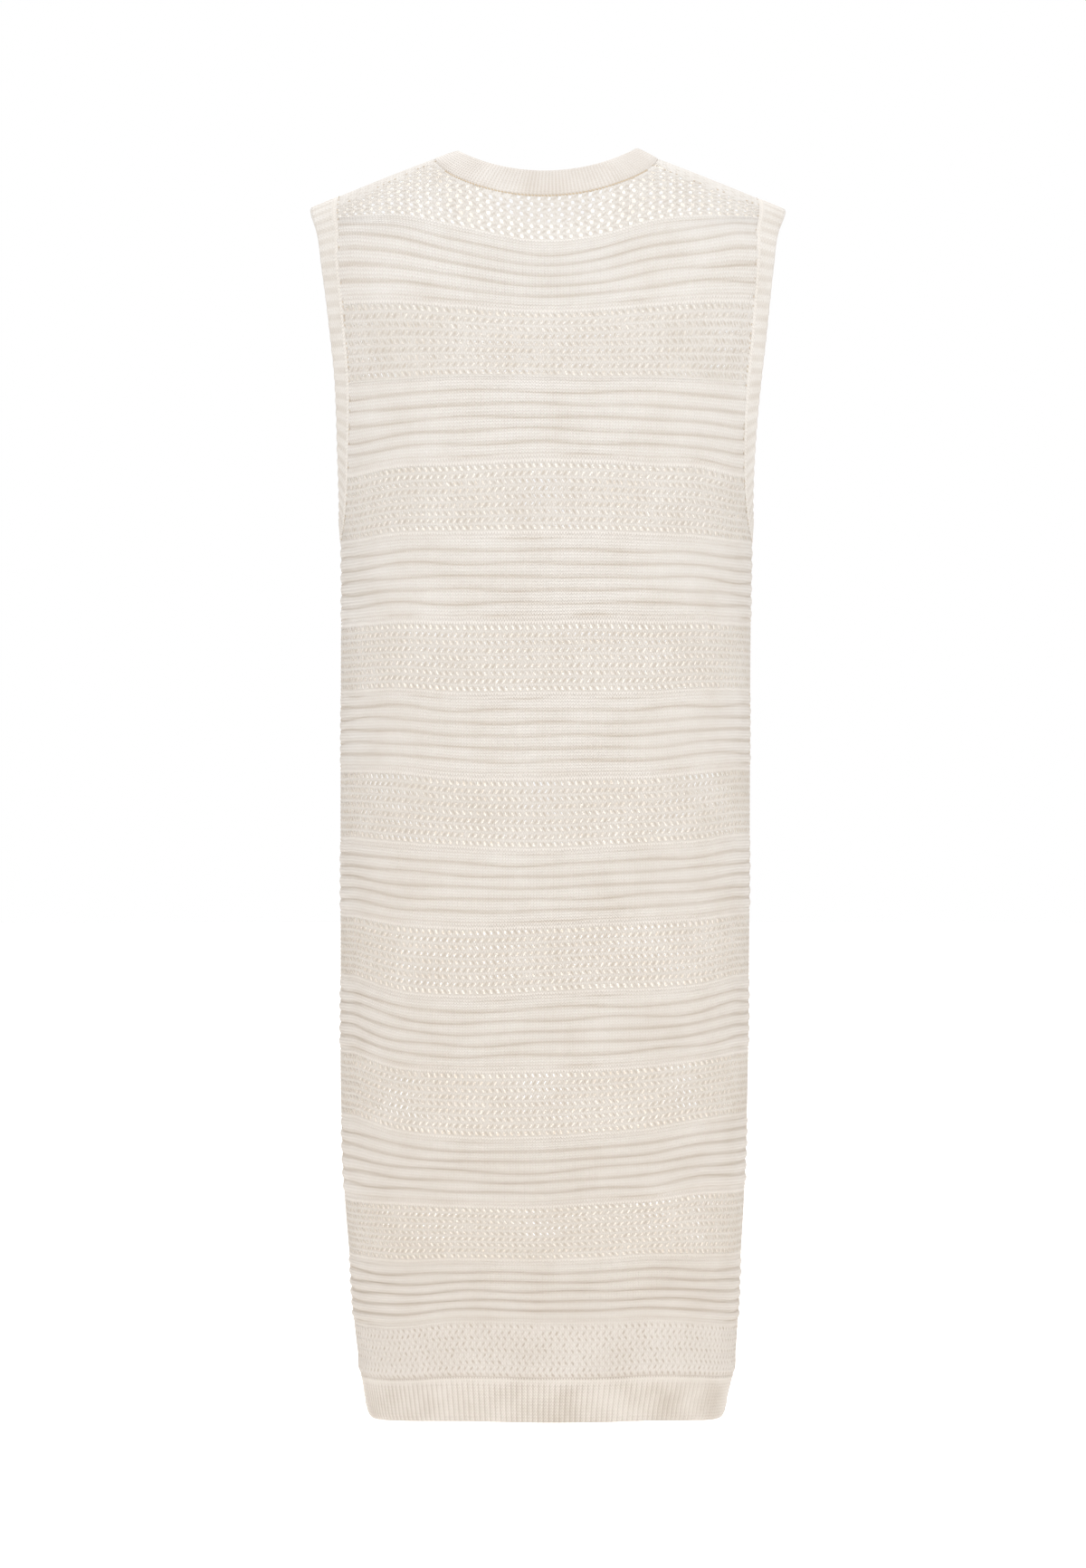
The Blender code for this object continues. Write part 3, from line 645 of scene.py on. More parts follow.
def cut_to(piece, outline, corners=()):
    """Deletes the faces beyond the outline and moves the points along it onto it."""
    outline = np.array(outline, float)
    _, distance, inside = nearest_on(outline, read_points(piece)[:, :2])
    beyond = ~inside & (distance > 1e-6)
    bm = edit(piece, "FACE")
    for face in bm.faces:
        face.select = all(beyond[v.index] for v in face.verts)
    bpy.ops.mesh.delete(type="FACE")
    close_edit(piece)
    points = read_points(piece)
    near, distance, inside = nearest_on(outline, points[:, :2])
    moved = ~inside | (distance < SNAP)
    points[moved, :2] = near[moved]
    for corner in corners:
        off = np.linalg.norm(points[:, :2] - corner, axis=1)
        points[off.argmin(), :2] = corner
    write_points(piece, points)
    edit(piece, "FACE", "SELECT")
    bpy.ops.mesh.remove_doubles(threshold=MERGED)
    bpy.ops.mesh.select_all(action="DESELECT")
    bm = bmesh.from_edit_mesh(piece.data)
    for face in bm.faces:
        face.select = face.calc_area() < SLIVER
    bpy.ops.mesh.delete(type="FACE")
    return close_edit(piece)


UNDER_ARMHOLES = 0.02 - ARM_SEAM_Z  # course


def between_seams(courses):
    """Outline of a band of the body between the armholes, with its corners. Lower bands need none."""
    if courses[0] >= UNDER_ARMHOLES:
        return None, ()
    left, right = (CELLS * (1 + sign * seam_share(courses, sign)) for sign in (-1, 1))
    rows = -np.arange(len(courses), dtype=float)
    outline = list(zip(left, rows)) + list(zip(right[::-1], rows[::-1]))
    return outline, [outline[0], outline[len(rows) - 1], outline[len(rows)], outline[-1]]


# %% [markdown]
# ## The openwork net
# In the net each row of holes is set half a hole aside from the row above, and the rows lean left and right
# in turn. A hole could be a see-through patch in a material, but real holes keep their edges in every view.
# The grid's faces are joined in pairs like bricks, the rows are shifted, and each brick is inset and opened.

# %% One net, flat
HOLE_POINT = 0.08  # how far a cell is drawn to a point above and below, in rows
YARN_WIDTH = 0.2
STRAND_RELIEF, DIMPLE = 0.0005, 0.0002
HOLE_SHIFT = 0.11
NET_HOLES = {"first": (0.21, 0.34, 0.40), "inner": (0.165, 0.32, 0.55)}  # half width, half height, lean
YOKE_HOLES = {"first": (0.25, 0.40, 0.20), "inner": (0.245, 0.39, 0.16)}
HOLE_SIZE, LEAN_UNEVEN = (0.86, 1.1), 0.06
MIDDLE_HOLES, MIDDLE_REACH = 0.84, 0.2  # the holes are this much smaller in the middle of the cloth
WHOLE_CELL = 0.86  # area above which a cell at the edge takes a hole


def flat_net(name, cells, rows, holes, outline, corners, closed=None, dimples=False):
    """closed(x, y) says where a cell stays whole. Dimples stay shut, as in net that is bunched up."""
    net = flat_grid(name, 2 * cells, rows)
    bm = edit(net, "EDGE")
    for item in bm.edges:
        a, b = item.verts
        if abs(a.co.x - b.co.x) < 0.1 and 0.5 < a.co.x < 2 * cells - 0.5:
            row = round(-max(a.co.y, b.co.y))
            item.select = (round(a.co.x) + row) % 2 == 1
    bpy.ops.mesh.dissolve_edges(use_verts=False)
    close_edit(net)
    points = read_points(net)
    points[:, 0] /= 2
    write_points(net, points)
    if outline is not None:
        cut_to(net, outline, corners)
    points = read_points(net)
    row, column = np.round(-points[:, 1]), np.round(points[:, 0] * 2)
    on_grid = (np.abs(points[:, 0] * 2 - column) < 1e-3) & (np.abs(-points[:, 1] - row) < 1e-3)
    free = on_grid & (row > 0) & (row < rows) & (column > 0) & (column < 2 * cells)
    points[:, 1] += np.where(free, np.where((column + row) % 2 == 1, HOLE_POINT, -HOLE_POINT), 0)
    points[:, 2] = STRAND_RELIEF
    write_points(net, points)
    return open_holes(net, cells, rows, holes, closed, dimples)


def open_holes(net, cells, rows, holes, closed, dimples):
    """Insets each whole cell, makes the middle a slim leaning hole and takes it out."""
    rng = np.random.default_rng(cells + rows)
    bm = edit(net, "FACE")
    bm.faces.ensure_lookup_table()
    for face in bm.faces:
        middle = face.calc_center_median()
        whole_cell = face.calc_area() > WHOLE_CELL and len(face.verts) >= 5
        face.select = whole_cell and not (closed and closed(middle.x, middle.y))
    bpy.ops.mesh.inset(thickness=YARN_WIDTH, use_individual=True, use_even_offset=True)
    bm = bmesh.from_edit_mesh(net.data)
    for face in bm.faces:
        if not face.select:
            continue
        centre = face.calc_center_median()
        row = int(-centre.y)
        half_width, half_height, lean = holes["first" if row in (0, rows - 1) else "inner"]
        sway = 1 if row % 2 else -1
        from_middle = min(1, abs(centre.x - cells / 2) / (MIDDLE_REACH * cells))
        size = rng.uniform(*HOLE_SIZE) * (MIDDLE_HOLES + (1 - MIDDLE_HOLES) * from_middle)
        lean += rng.uniform(-LEAN_UNEVEN, LEAN_UNEVEN)
        for v in face.verts:
            dx, dy = v.co.x - centre.x, v.co.y - centre.y
            far = sqrt(dx * dx + dy * dy)
            x, y = half_width * size * dx / far, half_height * size * dy / far
            v.co = (centre.x + sway * (HOLE_SHIFT + lean * y) + x, centre.y + y, -DIMPLE if dimples else 0)
    if not dimples:
        bpy.ops.mesh.delete(type="FACE")
    return close_edit(net)


# %% [markdown]
# ## The welts
# A welt is a rounded ridge that runs across the cloth, like a small tuck. Six of them make a band, with a
# plain strip above and below. They could be shaped one by one, but they are knitted all alike, so each row
# of a grid is lifted by the same rounded profile: full above and sharp in the groove below, and a little
# uneven along the row, as yarn is.

# %% One band of welts, flat
WELTS, WELT_ROWS, STRIP_ROWS = 6, 6, 2
WELT_RELIEF, STRIP_RELIEF = 0.0019, 0.0005
WELT_LEAN, WELT_ROUND = 0.85, 1.25  # a welt is full above its middle, and rounds into the groove
FIRST_WELT, WELT_UNDER_YOKE = 0.8, 0.35  # shares of the full relief
WELT_UNEVEN = 0.2
GROOVE_WANDER = 1.6  # in rows
GROOVE_WAVE, WELT_WAVE, WAVES = 20, 16, 5  # waves are in cells


def wander(seed, x, wave):
    """A smooth uneven line between -1 and 1, different for each seed."""
    rng = np.random.default_rng(seed)
    total = np.zeros_like(x, dtype=float)
    for _ in range(WAVES):
        size, pace, start = rng.uniform(0.4, 1), rng.uniform(0.5, 1.6), rng.uniform(0, 2 * pi)
        total += size * np.sin(x * pace * 2 * pi / wave + start)
    return total / WAVES


def full_relief(welt, seed, depth):
    """How far a welt stands out. The first of a band is lower, above all the one under the yoke."""
    return WELT_RELIEF * depth * np.where(welt < 1, WELT_UNDER_YOKE if seed < 2 else FIRST_WELT, 1.0)


def flat_welts(name, outline, corners, seed, depth):
    rows = STRIP_ROWS * 2 + WELTS * WELT_ROWS
    band = flat_grid(name, 2 * CELLS, rows)
    if outline is not None:
        cut_to(band, outline, corners)
    points = read_points(band)
    row = -points[:, 1]
    phase = (row - STRIP_ROWS) / WELT_ROWS
    inside = (phase > 0) & (phase < WELTS)
    welt = np.clip(np.floor(phase), 0, WELTS - 1)
    local = np.where(inside, phase - welt, 0)
    height = np.sin(pi * local**WELT_LEAN) ** WELT_ROUND
    grooves = np.array([wander(seed * 10 + i, points[:, 0], GROOVE_WAVE) for i in range(WELTS + 1)])
    every = np.arange(len(points))
    at = welt.astype(int)
    uneven = wander(seed * 10 + 9, points[:, 0] + 7 * welt, WELT_WAVE)
    shift = grooves[at, every] * (1 - local) + grooves[at + 1, every] * local
    shift = np.where(row < STRIP_ROWS, grooves[0] * row / STRIP_ROWS, shift)
    shift = np.where(row >= rows - STRIP_ROWS, grooves[WELTS] * (rows - row) / STRIP_ROWS, shift)
    full = full_relief(welt, seed, depth) * (1 + WELT_UNEVEN * uneven)
    points[:, 2] = STRIP_RELIEF * (1 - height) * (row < STRIP_ROWS) + full * height
    points[:, 2] = np.where(row > rows - STRIP_ROWS, STRIP_RELIEF, points[:, 2])
    points[:, 1] -= GROOVE_WANDER * shift
    write_points(band, points)
    return band


# %% [markdown]
# ## From the flat to the form
# Each point of a flat piece is read as a place on the form and moved there, out along the form's normal by
# its height. The flat place is kept as the piece's UV map, so that stitches in the materials follow the
# cloth, and an attribute named height keeps painted light and shade for the yarn's colour: painted shade
# deep in a groove, round a hole and in a crease, and painted light on a crest.

# %% Put UV and height on a piece
def keep_flat_place(piece, u, v, height):
    mesh = piece.data
    uv = mesh.uv_layers.new(name="stitches")
    loops = np.empty(len(mesh.loops), int)
    mesh.loops.foreach_get("vertex_index", loops)
    uv.data.foreach_set("uv", np.stack([u[loops], v[loops]], axis=1).astype(np.float32).ravel())
    level = mesh.attributes.new("height", "FLOAT", "POINT")
    level.data.foreach_set("value", np.clip(height, 0, 1).astype(np.float32))


def onto_form(piece, side, turn, along, relief):
    """Moves every point to its place on the form."""
    points = on_form(side, turn, along) + relief[:, None] * outward(side, turn, along)
    write_points(piece, points)
    if side == BACK:
        return piece
    edit(piece, "FACE", "SELECT")
    bpy.ops.mesh.flip_normals()
    return close_edit(piece)


# %% Drape a band of the body
# Painted light and shade of net: its strands are lit, painted shade lies round its holes, and the dimples of
# the last net take painted light.
STRAND_LIGHT, HOLE_SHADE, DIMPLE_LIGHT = 0.7, 0.3, 1.1  # painted light falls into the dimples of the last net


def net_light_and_shade(flat, at_holes):
    """Painted light and shade of net for its colour: lighter at its strands, painted shade round its holes.
    """
    return np.where(flat[:, 2] > STRAND_RELIEF / 2, STRAND_LIGHT, at_holes)


def drape(piece, side, course, stitches, height, relief):
    """Carries a flat band to the form. Its wales and its rows of stitches become its UV map."""
    column = read_points(piece)[:, 0]
    turn, along, _ = chart(column / CELLS - 1, course)
    keep_flat_place(piece, column * WALES, stitches, height)
    return onto_form(piece, side, turn, along, relief)


# %% Give cloth its thickness
HOLE_EDGE, FULL_ABOVE = 0.35, 0.4  # share of the thickness round a hole, and the height that counts as full


def thicken(piece, thickness, thin=None):
    """Solidify inwards. thin is the share of the thickness at the points that have little height."""
    solid = piece.modifiers.new("thickness", "SOLIDIFY")
    solid.thickness = thickness
    solid.offset = -1
    solid.use_even_offset = False
    if thin is not None:
        group = piece.vertex_groups.new(name="full")
        height = np.empty(len(piece.data.vertices), np.float32)
        piece.data.attributes["height"].data.foreach_get("value", height)
        group.add(np.nonzero(height > FULL_ABOVE)[0].tolist(), 1.0, "REPLACE")
        solid.vertex_group = "full"
        solid.thickness_vertex_group = thin
    select_only(piece)
    bpy.ops.object.modifier_apply(modifier="thickness")
    bpy.ops.object.shade_smooth_by_angle(angle=radians(60))
    return piece


def join(name, pieces):
    select_only(*pieces)
    bpy.ops.object.join()
    joined = bpy.context.object
    joined.name = joined.data.name = name
    return joined


# %% [markdown]
# ## Back and front
# The bands follow each other down the body. Net and welts are separate closed walls that meet edge to edge,
# as the stitches of one row hang in the loops of the last. The yoke is net too, but its rows are counted up
# from the first welt and end at the neckline and the shoulder seams.

# %% The bands, as courses down the middle
BANDS = (  # the net above ends, the welts start, they end, the net below starts, depth of the welts
    (0.0678, 0.0715, 0.1270, 0.1317, 0.80),
    (0.1870, 0.1893, 0.2549, 0.2612, 0.85),
    (0.3205, 0.3260, 0.3947, 0.4010, 0.80),
    (0.4595, 0.4642, 0.5306, 0.5361, 0.75),
    (0.5945, 0.5993, 0.6587, 0.6634, 0.85),
    (0.7185, 0.7227, 0.7829, 0.7876, 0.95),
    (0.8428, 0.8469, 0.9000, 0.9047, 0.95),
    (0.9490, 0.9531, 1.0016, 1.0055, 1.00),
)
NET_ROWS = 9
NET_CLOTH, WELT_CLOTH = 0.0019, 0.0014
OVERLAP = 0.0003  # of a net and the strip beside it


def welt_courses(index):
    """Course of every row of a band of welts."""
    net_end, start, end, net_start, _ = BANDS[index]
    return np.concatenate((np.linspace(net_end, start, STRIP_ROWS + 1)[:-1],
                           np.linspace(start, end, WELTS * WELT_ROWS + 1),
                           np.linspace(end, net_start, STRIP_ROWS + 1)[1:]))


# %% A band of welts
GROOVE_FADE = 0.4  # how soon a groove's painted shade fades up its sides
FADE_WAVE, FADE_MOST = 24, 0.7
# painted light on the plain strips above and below the welts
STRIP_LIGHT = 0.85
SIDE_FADE, ARMHOLE_FADE = (0.1, 1.7), (0.1, 0.7)  # in cells from a seam


def welt_light_and_shade(flat, welt, seed, depth):
    """Painted light and shade for the colour of welts: the painted shade in the grooves is dark along some
    stretches and fades on others.
    """
    height = np.clip(flat[:, 2] / full_relief(welt, seed, depth), 0, 1) ** GROOVE_FADE
    groove = np.round(welt)
    faded = np.clip(0.2 + 0.6 * wander(seed + 50, flat[:, 0] + 23 * groove, FADE_WAVE), 0, FADE_MOST)
    height = height + (1 - height) * faded * (1.6 - depth)
    strips = np.interp(welt, (0, 0.25, WELTS - 0.1, WELTS), (1, 0, 0, 1))
    return np.maximum(height, STRIP_LIGHT * strips)


def raised_by_seams(flat, rows, outline):
    """Share of their relief that welts keep close to a seam, which pulls them flat."""
    from_side = np.minimum(flat[:, 0], 2 * CELLS - flat[:, 0])
    if outline is None:
        return np.interp(from_side, SIDE_FADE, (0, 1))
    _, off, _ = nearest_on(np.array(outline), flat[:, :2])
    by_armhole = (from_side < 0.7 * CELLS) & (-flat[:, 1] > 0.5) & (-flat[:, 1] < rows - 0.5)
    return np.where(by_armhole, np.interp(off, ARMHOLE_FADE, (0, 1)), 1)


def welt_band(side, index):
    courses = welt_courses(index)
    outline, corners = between_seams(courses)
    depth, seed = BANDS[index][4], index * 2 + (side > 0)
    band = flat_welts(f"welts_{index}", outline, corners, seed, depth)
    flat = read_points(band)
    course = np.interp(-flat[:, 1], np.arange(len(courses)), courses)
    stitches = WELT_STITCHES * (-flat[:, 1] - STRIP_ROWS) / WELT_ROWS
    height = welt_light_and_shade(flat, stitches / WELT_STITCHES, seed, depth)
    relief = flat[:, 2] * raised_by_seams(flat, len(courses) - 1, outline)
    band.data.materials.append(YARNS["welts"])
    return thicken(drape(band, side, course, stitches, height, relief), WELT_CLOTH)


# %% A band of net
HEM_SWELL, SWELL_WAVE, CREASE_WAVE = 0.0014, 26, 30
FOLD_ROWS, CREASE_ROWS = (5.5, 7.9, 8.1, 9.0), (8.2, 8.8)


def swell_over_hem(net, height):
    """The last net hangs over the drawn-in hem, in a soft wavy fold, with painted shade in the crease under
    it.
    """
    points = read_points(net)
    row = -points[:, 1]
    fold = np.interp(row, FOLD_ROWS, (0, 1, 1, 0))
    wave = wander(77, points[:, 0], SWELL_WAVE)
    points[:, 2] += HEM_SWELL * np.sin(pi / 2 * fold) * (1 + 0.35 * wave)
    points[:, 1] += 0.22 * wave * fold
    write_points(net, points)
    # painted shade in the crease under the fold
    crease_shade = np.interp(row, CREASE_ROWS, (0, 1)) * (0.7 + 0.3 * wander(78, points[:, 0], CREASE_WAVE))
    return height - 0.8 * crease_shade


def net_band(side, index):
    top = BANDS[index][3] - OVERLAP
    last = index + 1 == len(BANDS)
    bottom = HEM_TOP + 2 * OVERLAP if last else BANDS[index + 1][0] + OVERLAP
    outline, corners = between_seams(np.linspace(top, bottom, NET_ROWS + 1))
    net = flat_net(f"net_{index}", 2 * CELLS, NET_ROWS, NET_HOLES, outline, corners, dimples=last)
    height = net_light_and_shade(read_points(net), DIMPLE_LIGHT if last else HOLE_SHADE)
    if last:
        height = swell_over_hem(net, height)
    net.data.materials.append(YARNS["low_net" if last else "net"])
    flat = read_points(net)
    course = top + (bottom - top) * -flat[:, 1] / NET_ROWS
    net = drape(net, side, course, -flat[:, 1] * NET_STITCHES, height, flat[:, 2])
    return thicken(net, NET_CLOTH, HOLE_EDGE)


# %% The yoke
YOKE_ROW, YOKE_ROWS = 0.0050, 27
YOKE_CLOTH = 0.0011
YOKE_BOTTOM = BANDS[0][0] + OVERLAP
SHOULDER_PLAIN = 0.012  # the front has no holes above this, where it goes over the shoulder


def yoke_chart(share, row):
    """(turn, along) of a yoke point, counted in rows up from the first welt."""
    turn, along, _ = chart(share, np.full(np.shape(share), YOKE_BOTTOM))
    return turn, along - row * YOKE_ROW


def yoke_outline(side):
    """Outline of the yoke in the flat, and its corners."""
    shares = np.linspace(-1, 1, 801)
    first_turn, first_along = yoke_chart(shares, 0)

    def flatten(turns, alongs):
        share = np.interp(turns, first_turn, shares)
        row = (np.interp(turns, first_turn, first_along) - alongs) / YOKE_ROW
        return list(zip(YOKE_CELLS * (1 + share), row - YOKE_ROWS))

    neck = []
    for sign in (1, -1):
        angles = np.linspace(SHOULDER_SEAMS[sign][2], 0 if side == BACK else pi, 50)
        neck += [neck_point(side, sign * angle) for angle in angles][::sign]
    flat = [flatten(*armhole_side(side, 1)), flatten(*shoulder_line(side, 1))[::-1],
            flatten(*np.array(neck).T),
            flatten(*shoulder_line(side, -1)), flatten(*armhole_side(side, -1))[::-1]]
    corners = [flat[0][0], flat[0][-1], flat[1][-1], flat[3][0], flat[3][-1], flat[4][-1]]
    return [point for line in flat for point in line], corners


def armhole_side(side, sign):
    """(turn, along) up the armhole seam, from the first welt to the shoulder seam."""
    turn, along = shoulder_line(side, sign)
    bottom_share = seam_share([YOKE_BOTTOM], sign)[0]
    _, start, _ = chart(np.array([bottom_share * sign]), np.array([YOKE_BOTTOM]))
    alongs = np.linspace(float(start[0]), along[-1], 24)
    turns = np.full(24, turn[-1])
    for _ in range(8):
        turns = sign * arm_seam_turn(on_form(side, turns, alongs)[:, 2])
    return turns, alongs


def yoke(side):
    outline, corners = yoke_outline(side)

    def closed(x, y):
        along = yoke_chart(np.array([x / YOKE_CELLS - 1]), YOKE_ROWS + y)[1]
        return side == FRONT and along[0] < SHOULDER_PLAIN

    net = flat_net(f"yoke_{side}", 2 * YOKE_CELLS, YOKE_ROWS, YOKE_HOLES, outline, corners, closed)
    flat = read_points(net)
    turn, along = yoke_chart(flat[:, 0] / YOKE_CELLS - 1, YOKE_ROWS + flat[:, 1])
    height = net_light_and_shade(flat, HOLE_SHADE)
    keep_flat_place(net, flat[:, 0] * YOKE_WALES, -flat[:, 1] * YOKE_STITCHES, height)
    net.data.materials.append(YARNS["yoke"])
    return thicken(onto_form(net, side, turn, along, flat[:, 2]), YOKE_CLOTH, HOLE_EDGE)


# %% Both panels
IN_UPPER = 8  # bands in the upper piece of a panel
panels = {}
for side, label in ((BACK, "back"), (FRONT, "front")):
    bands = [yoke(side)]
    for index in range(len(BANDS)):
        bands += [welt_band(side, index), net_band(side, index)]
    for name, part in ((label + "_upper", bands[:IN_UPPER]), (label + "_lower", bands[IN_UPPER:])):
        panels[name] = join(name, part)
for name, panel in panels.items():
    print(name, "faces:", len(panel.data.polygons))

# %% [markdown]
# ## The neck band
# The band is knitted in narrow ribs that stand up round the neck and lean in to a soft rolled rim. It is a
# closed ring: one grid goes round the neck, and its rows go up the outside, over the rim and down the inside.

# %% Close a grid into a ring
def close_ring(piece):
    edit(piece, "FACE", "SELECT")
    bpy.ops.mesh.remove_doubles(threshold=0.00002)
    bpy.ops.mesh.normals_make_consistent(inside=False)
    close_edit(piece)
    bpy.ops.object.shade_smooth_by_angle(angle=radians(60))
    return piece


def even_places(line, count):
    """Places along a line of points, from 0 to the number of its steps, that are evenly far apart."""
    distance = np.concatenate(([0], np.cumsum(np.linalg.norm(np.diff(line, axis=0), axis=1))))
    return np.interp(np.linspace(0, distance[-1], count + 1), distance, np.arange(len(line))), distance[-1]


# %% Neckline, foot and rim
def neck_frame(angle):
    """Foot, rim, outward and upward directions of the neck band, for an array of angles."""
    charted = np.array([neck_point(BACK, a) for a in angle])
    foot = on_form(BACK, charted[:, 0], charted[:, 1])
    normal = outward(BACK, charted[:, 0], charted[:, 1])
    is_back = np.cos(angle) > 0
    depth = np.where(is_back, -RIM_DEPTH_BACK, RIM_DEPTH_FRONT)
    middle = np.where(is_back, RIM_BACK, RIM_FRONT)
    rise = 1 - np.abs(np.cos(angle)) ** RIM_CURVE
    height = middle + (RIM_SIDE - middle) * rise + NECK_TILT * np.sin(angle)
    rim = np.stack([RIM_X + RIM_HALF * np.sin(angle), depth * np.abs(np.cos(angle)), height], axis=1)
    up = rim - foot
    up /= np.linalg.norm(up, axis=1, keepdims=True)
    out = normal - up * (normal * up).sum(axis=1, keepdims=True)
    out /= np.linalg.norm(out, axis=1, keepdims=True)
    return foot, rim, out, up


NECK_ANGLES = np.linspace(0, 2 * pi, 721)
NECK_LINE = neck_frame(NECK_ANGLES)[0]
print("neckline:", round(even_places(NECK_LINE, 8)[1], 3), "m")

# %% Neck band
RIB = 4  # columns of the grid in a fine rib
NECK_RIBS, NECK_STITCH_ROWS = 200, 11
NECK_CLOTH, NECK_RIB = 0.0028, 0.00035
NECK_PROFILE = (  # share of the band's height, depth in the wall
    (0.0, 1), (0.0, 0.2), (0.05, 0), (0.2, 0), (0.4, 0), (0.6, 0), (0.8, 0), (0.93, 0.05), (1.0, 0.32),
    (1.0, 0.7), (0.93, 0.98), (0.5, 1), (0.0, 1),
)


def neck_angles(places):
    return np.interp(places, np.arange(len(NECK_ANGLES)), NECK_ANGLES)


def neck_band():
    columns = RIB * NECK_RIBS
    band = flat_grid("neck_ribs", columns, len(NECK_PROFILE) - 1)
    flat = read_points(band)
    angles = neck_angles(even_places(NECK_LINE, columns)[0])
    foot, rim, out, _ = neck_frame(angles)
    column, row = flat[:, 0].astype(int), -flat[:, 1].astype(int)
    share, depth = np.array(NECK_PROFILE)[row].T
    facing = np.sqrt(np.abs(np.cos(angles)))[column]
    bulge = (0.001 + 0.0045 * share * (1 - share)) * (0.2 + 0.8 * facing)
    rib = np.cos(2 * pi * column / RIB) * NECK_RIB * (depth < 0.5) * (share > 0.02)
    # Painted shade: the colour is darker in the grooves of the ribs and at the band's foot, where it meets
    # the yoke.
    height = 0.55 + 0.4 * rib / NECK_RIB - 0.4 * np.exp(-share / 0.08)
    keep_flat_place(band, column / RIB, share * NECK_STITCH_ROWS, height)
    points = foot[column] + (rim - foot)[column] * share[:, None]
    write_points(band, points + out[column] * (bulge - depth * NECK_CLOTH + rib)[:, None])
    return close_ring(band)


neck_ribs = neck_band()
print("neck band faces:", len(neck_ribs.data.polygons))

# %% [markdown]
# ## Stitched seams
# The pieces are joined by chains of small stitches. One stitch is a slim rounded bead. It is made once, and
# copied along each seam, leaning to one side and the other as the two legs of a knitted stitch do.

# %% One stitch, and a row of them
def stitch_bead():
    select_only()
    bpy.ops.mesh.primitive_uv_sphere_add(segments=6, ring_count=4, radius=1)
    bead = bpy.context.object
    bpy.ops.object.shade_smooth()
    return bead


def stitch_row(name, line, normals, size, lean):
    """Copies of the bead along a line of points; size is its half length, width and height in metres."""
    along = np.gradient(line, axis=0)
    along /= np.linalg.norm(along, axis=1, keepdims=True)
    side = np.cross(normals, along)
    side /= np.linalg.norm(side, axis=1, keepdims=True)
    ahead = along * np.cos(lean) + side * np.sin(lean)
    aside = side * np.cos(lean) - along * np.sin(lean)
    mesh_points = read_points(bead)
    copies = []
    for centre, x, y, z in zip(line, ahead, aside, normals):
        copy = bead.copy()
        copy.data = bead.data.copy()
        bpy.context.scene.collection.objects.link(copy)
        write_points(copy, centre + mesh_points * size @ np.array([x, y, z]))
        copies.append(copy)
    return join(name, copies)


bead = stitch_bead()

# %% Rolled seam under the neck band
NECK_STITCHES, NECK_STITCH, NECK_LEAN = 230, (0.0016, 0.0007, 0.0008), 0.4
NECK_SEAM_HALF = 0.089  # at the shoulders the band hides its seam
foot, _, out, up = neck_frame(neck_angles(even_places(NECK_LINE, NECK_STITCHES)[0][:-1]))
seam_line = foot - up * 0.0002 + out * 0.0003
halves = []
for side in (BACK, FRONT):
    shown = (np.abs(foot[:, 0]) < NECK_SEAM_HALF) & (foot[:, 1] * side > 0)
    line, normals = (points[shown][np.argsort(foot[shown, 0])] for points in (seam_line, out))
    halves.append(stitch_row("neck_seam", line, normals, NECK_STITCH, NECK_LEAN * side))
neck_seam = join("neck_seam", halves)
print("neck seam stitches:", NECK_STITCHES)

# %% [markdown]
# ## The armhole bands
# Each band goes all round its armhole and folds in at the free edge. Its ribs lie across the band. Under the
# arm it narrows. A chain of stitches, a little lighter than the ribs, joins it to the body.

# %% The armhole seam and the free edge that faces it
def armhole_line(sign, count):
    """(turn, along) all round the armhole seam, from under the arm, evenly spaced, and its length."""
    alongs = np.linspace(-UNDER_ARM, UNDER_ARM, 801)
    turns = np.full(len(alongs), sign * 1.0)
    for _ in range(12):
        z = on_form(BACK, turns, alongs)[:, 2]
        turns = 0.5 * turns + 0.5 * sign * arm_seam_turn(z)
    turns[[0, -1]] = sign * pi / 2
    places, length = even_places(on_form(BACK, turns, alongs), count)
    every = np.arange(len(alongs))
    return np.interp(places, every, turns), np.interp(places, every, alongs), length


def armhole_length(sign):
    return armhole_line(sign, 8)[2]


def arm_edge(turn, along, sign):
    x, _, z = on_form(BACK, turn, along).T
    side_turn = pi / 2 - ARM_TURN
    side_x = on_form(BACK, sign * side_turn, along)[:, 0]
    rise = (crest(x) - crest(side_x)) * np.minimum(1, np.abs(along) / ARM_LEVEL)
    upper = along - rise * np.sign(along)
    share = np.clip((ARM_TAPER_Z - z) / (ARM_TAPER_Z - ARM_SEAM_Z), 0, 1)
    low_z = ARM_TAPER_Z - (ARM_TAPER_Z - ARM_SEAM_Z - ARM_BAND) * share
    low_turn = pi / 2 - ARM_TURN * np.sqrt(1 - share**2)
    low_x = on_form(BACK, sign * low_turn, along)[:, 0]
    lower = along_cloth(crest(low_x) - low_z, low_x) * np.sign(along)
    above = z > ARM_TAPER_Z
    return sign * np.where(above, side_turn, low_turn), np.where(above, upper, lower)


def across_band(sign, count):
    """Reader of points and normals on the band, for a column and a share of the way to the free edge."""
    turn, along, _ = armhole_line(sign, count)
    edge_turn, edge_along = arm_edge(turn, along, sign)

    def read(column, share):
        at_turn = turn[column] + (edge_turn - turn)[column] * share
        at_along = along[column] + (edge_along - along)[column] * share
        return on_form(BACK, at_turn, at_along), outward(BACK, at_turn, at_along)

    return read


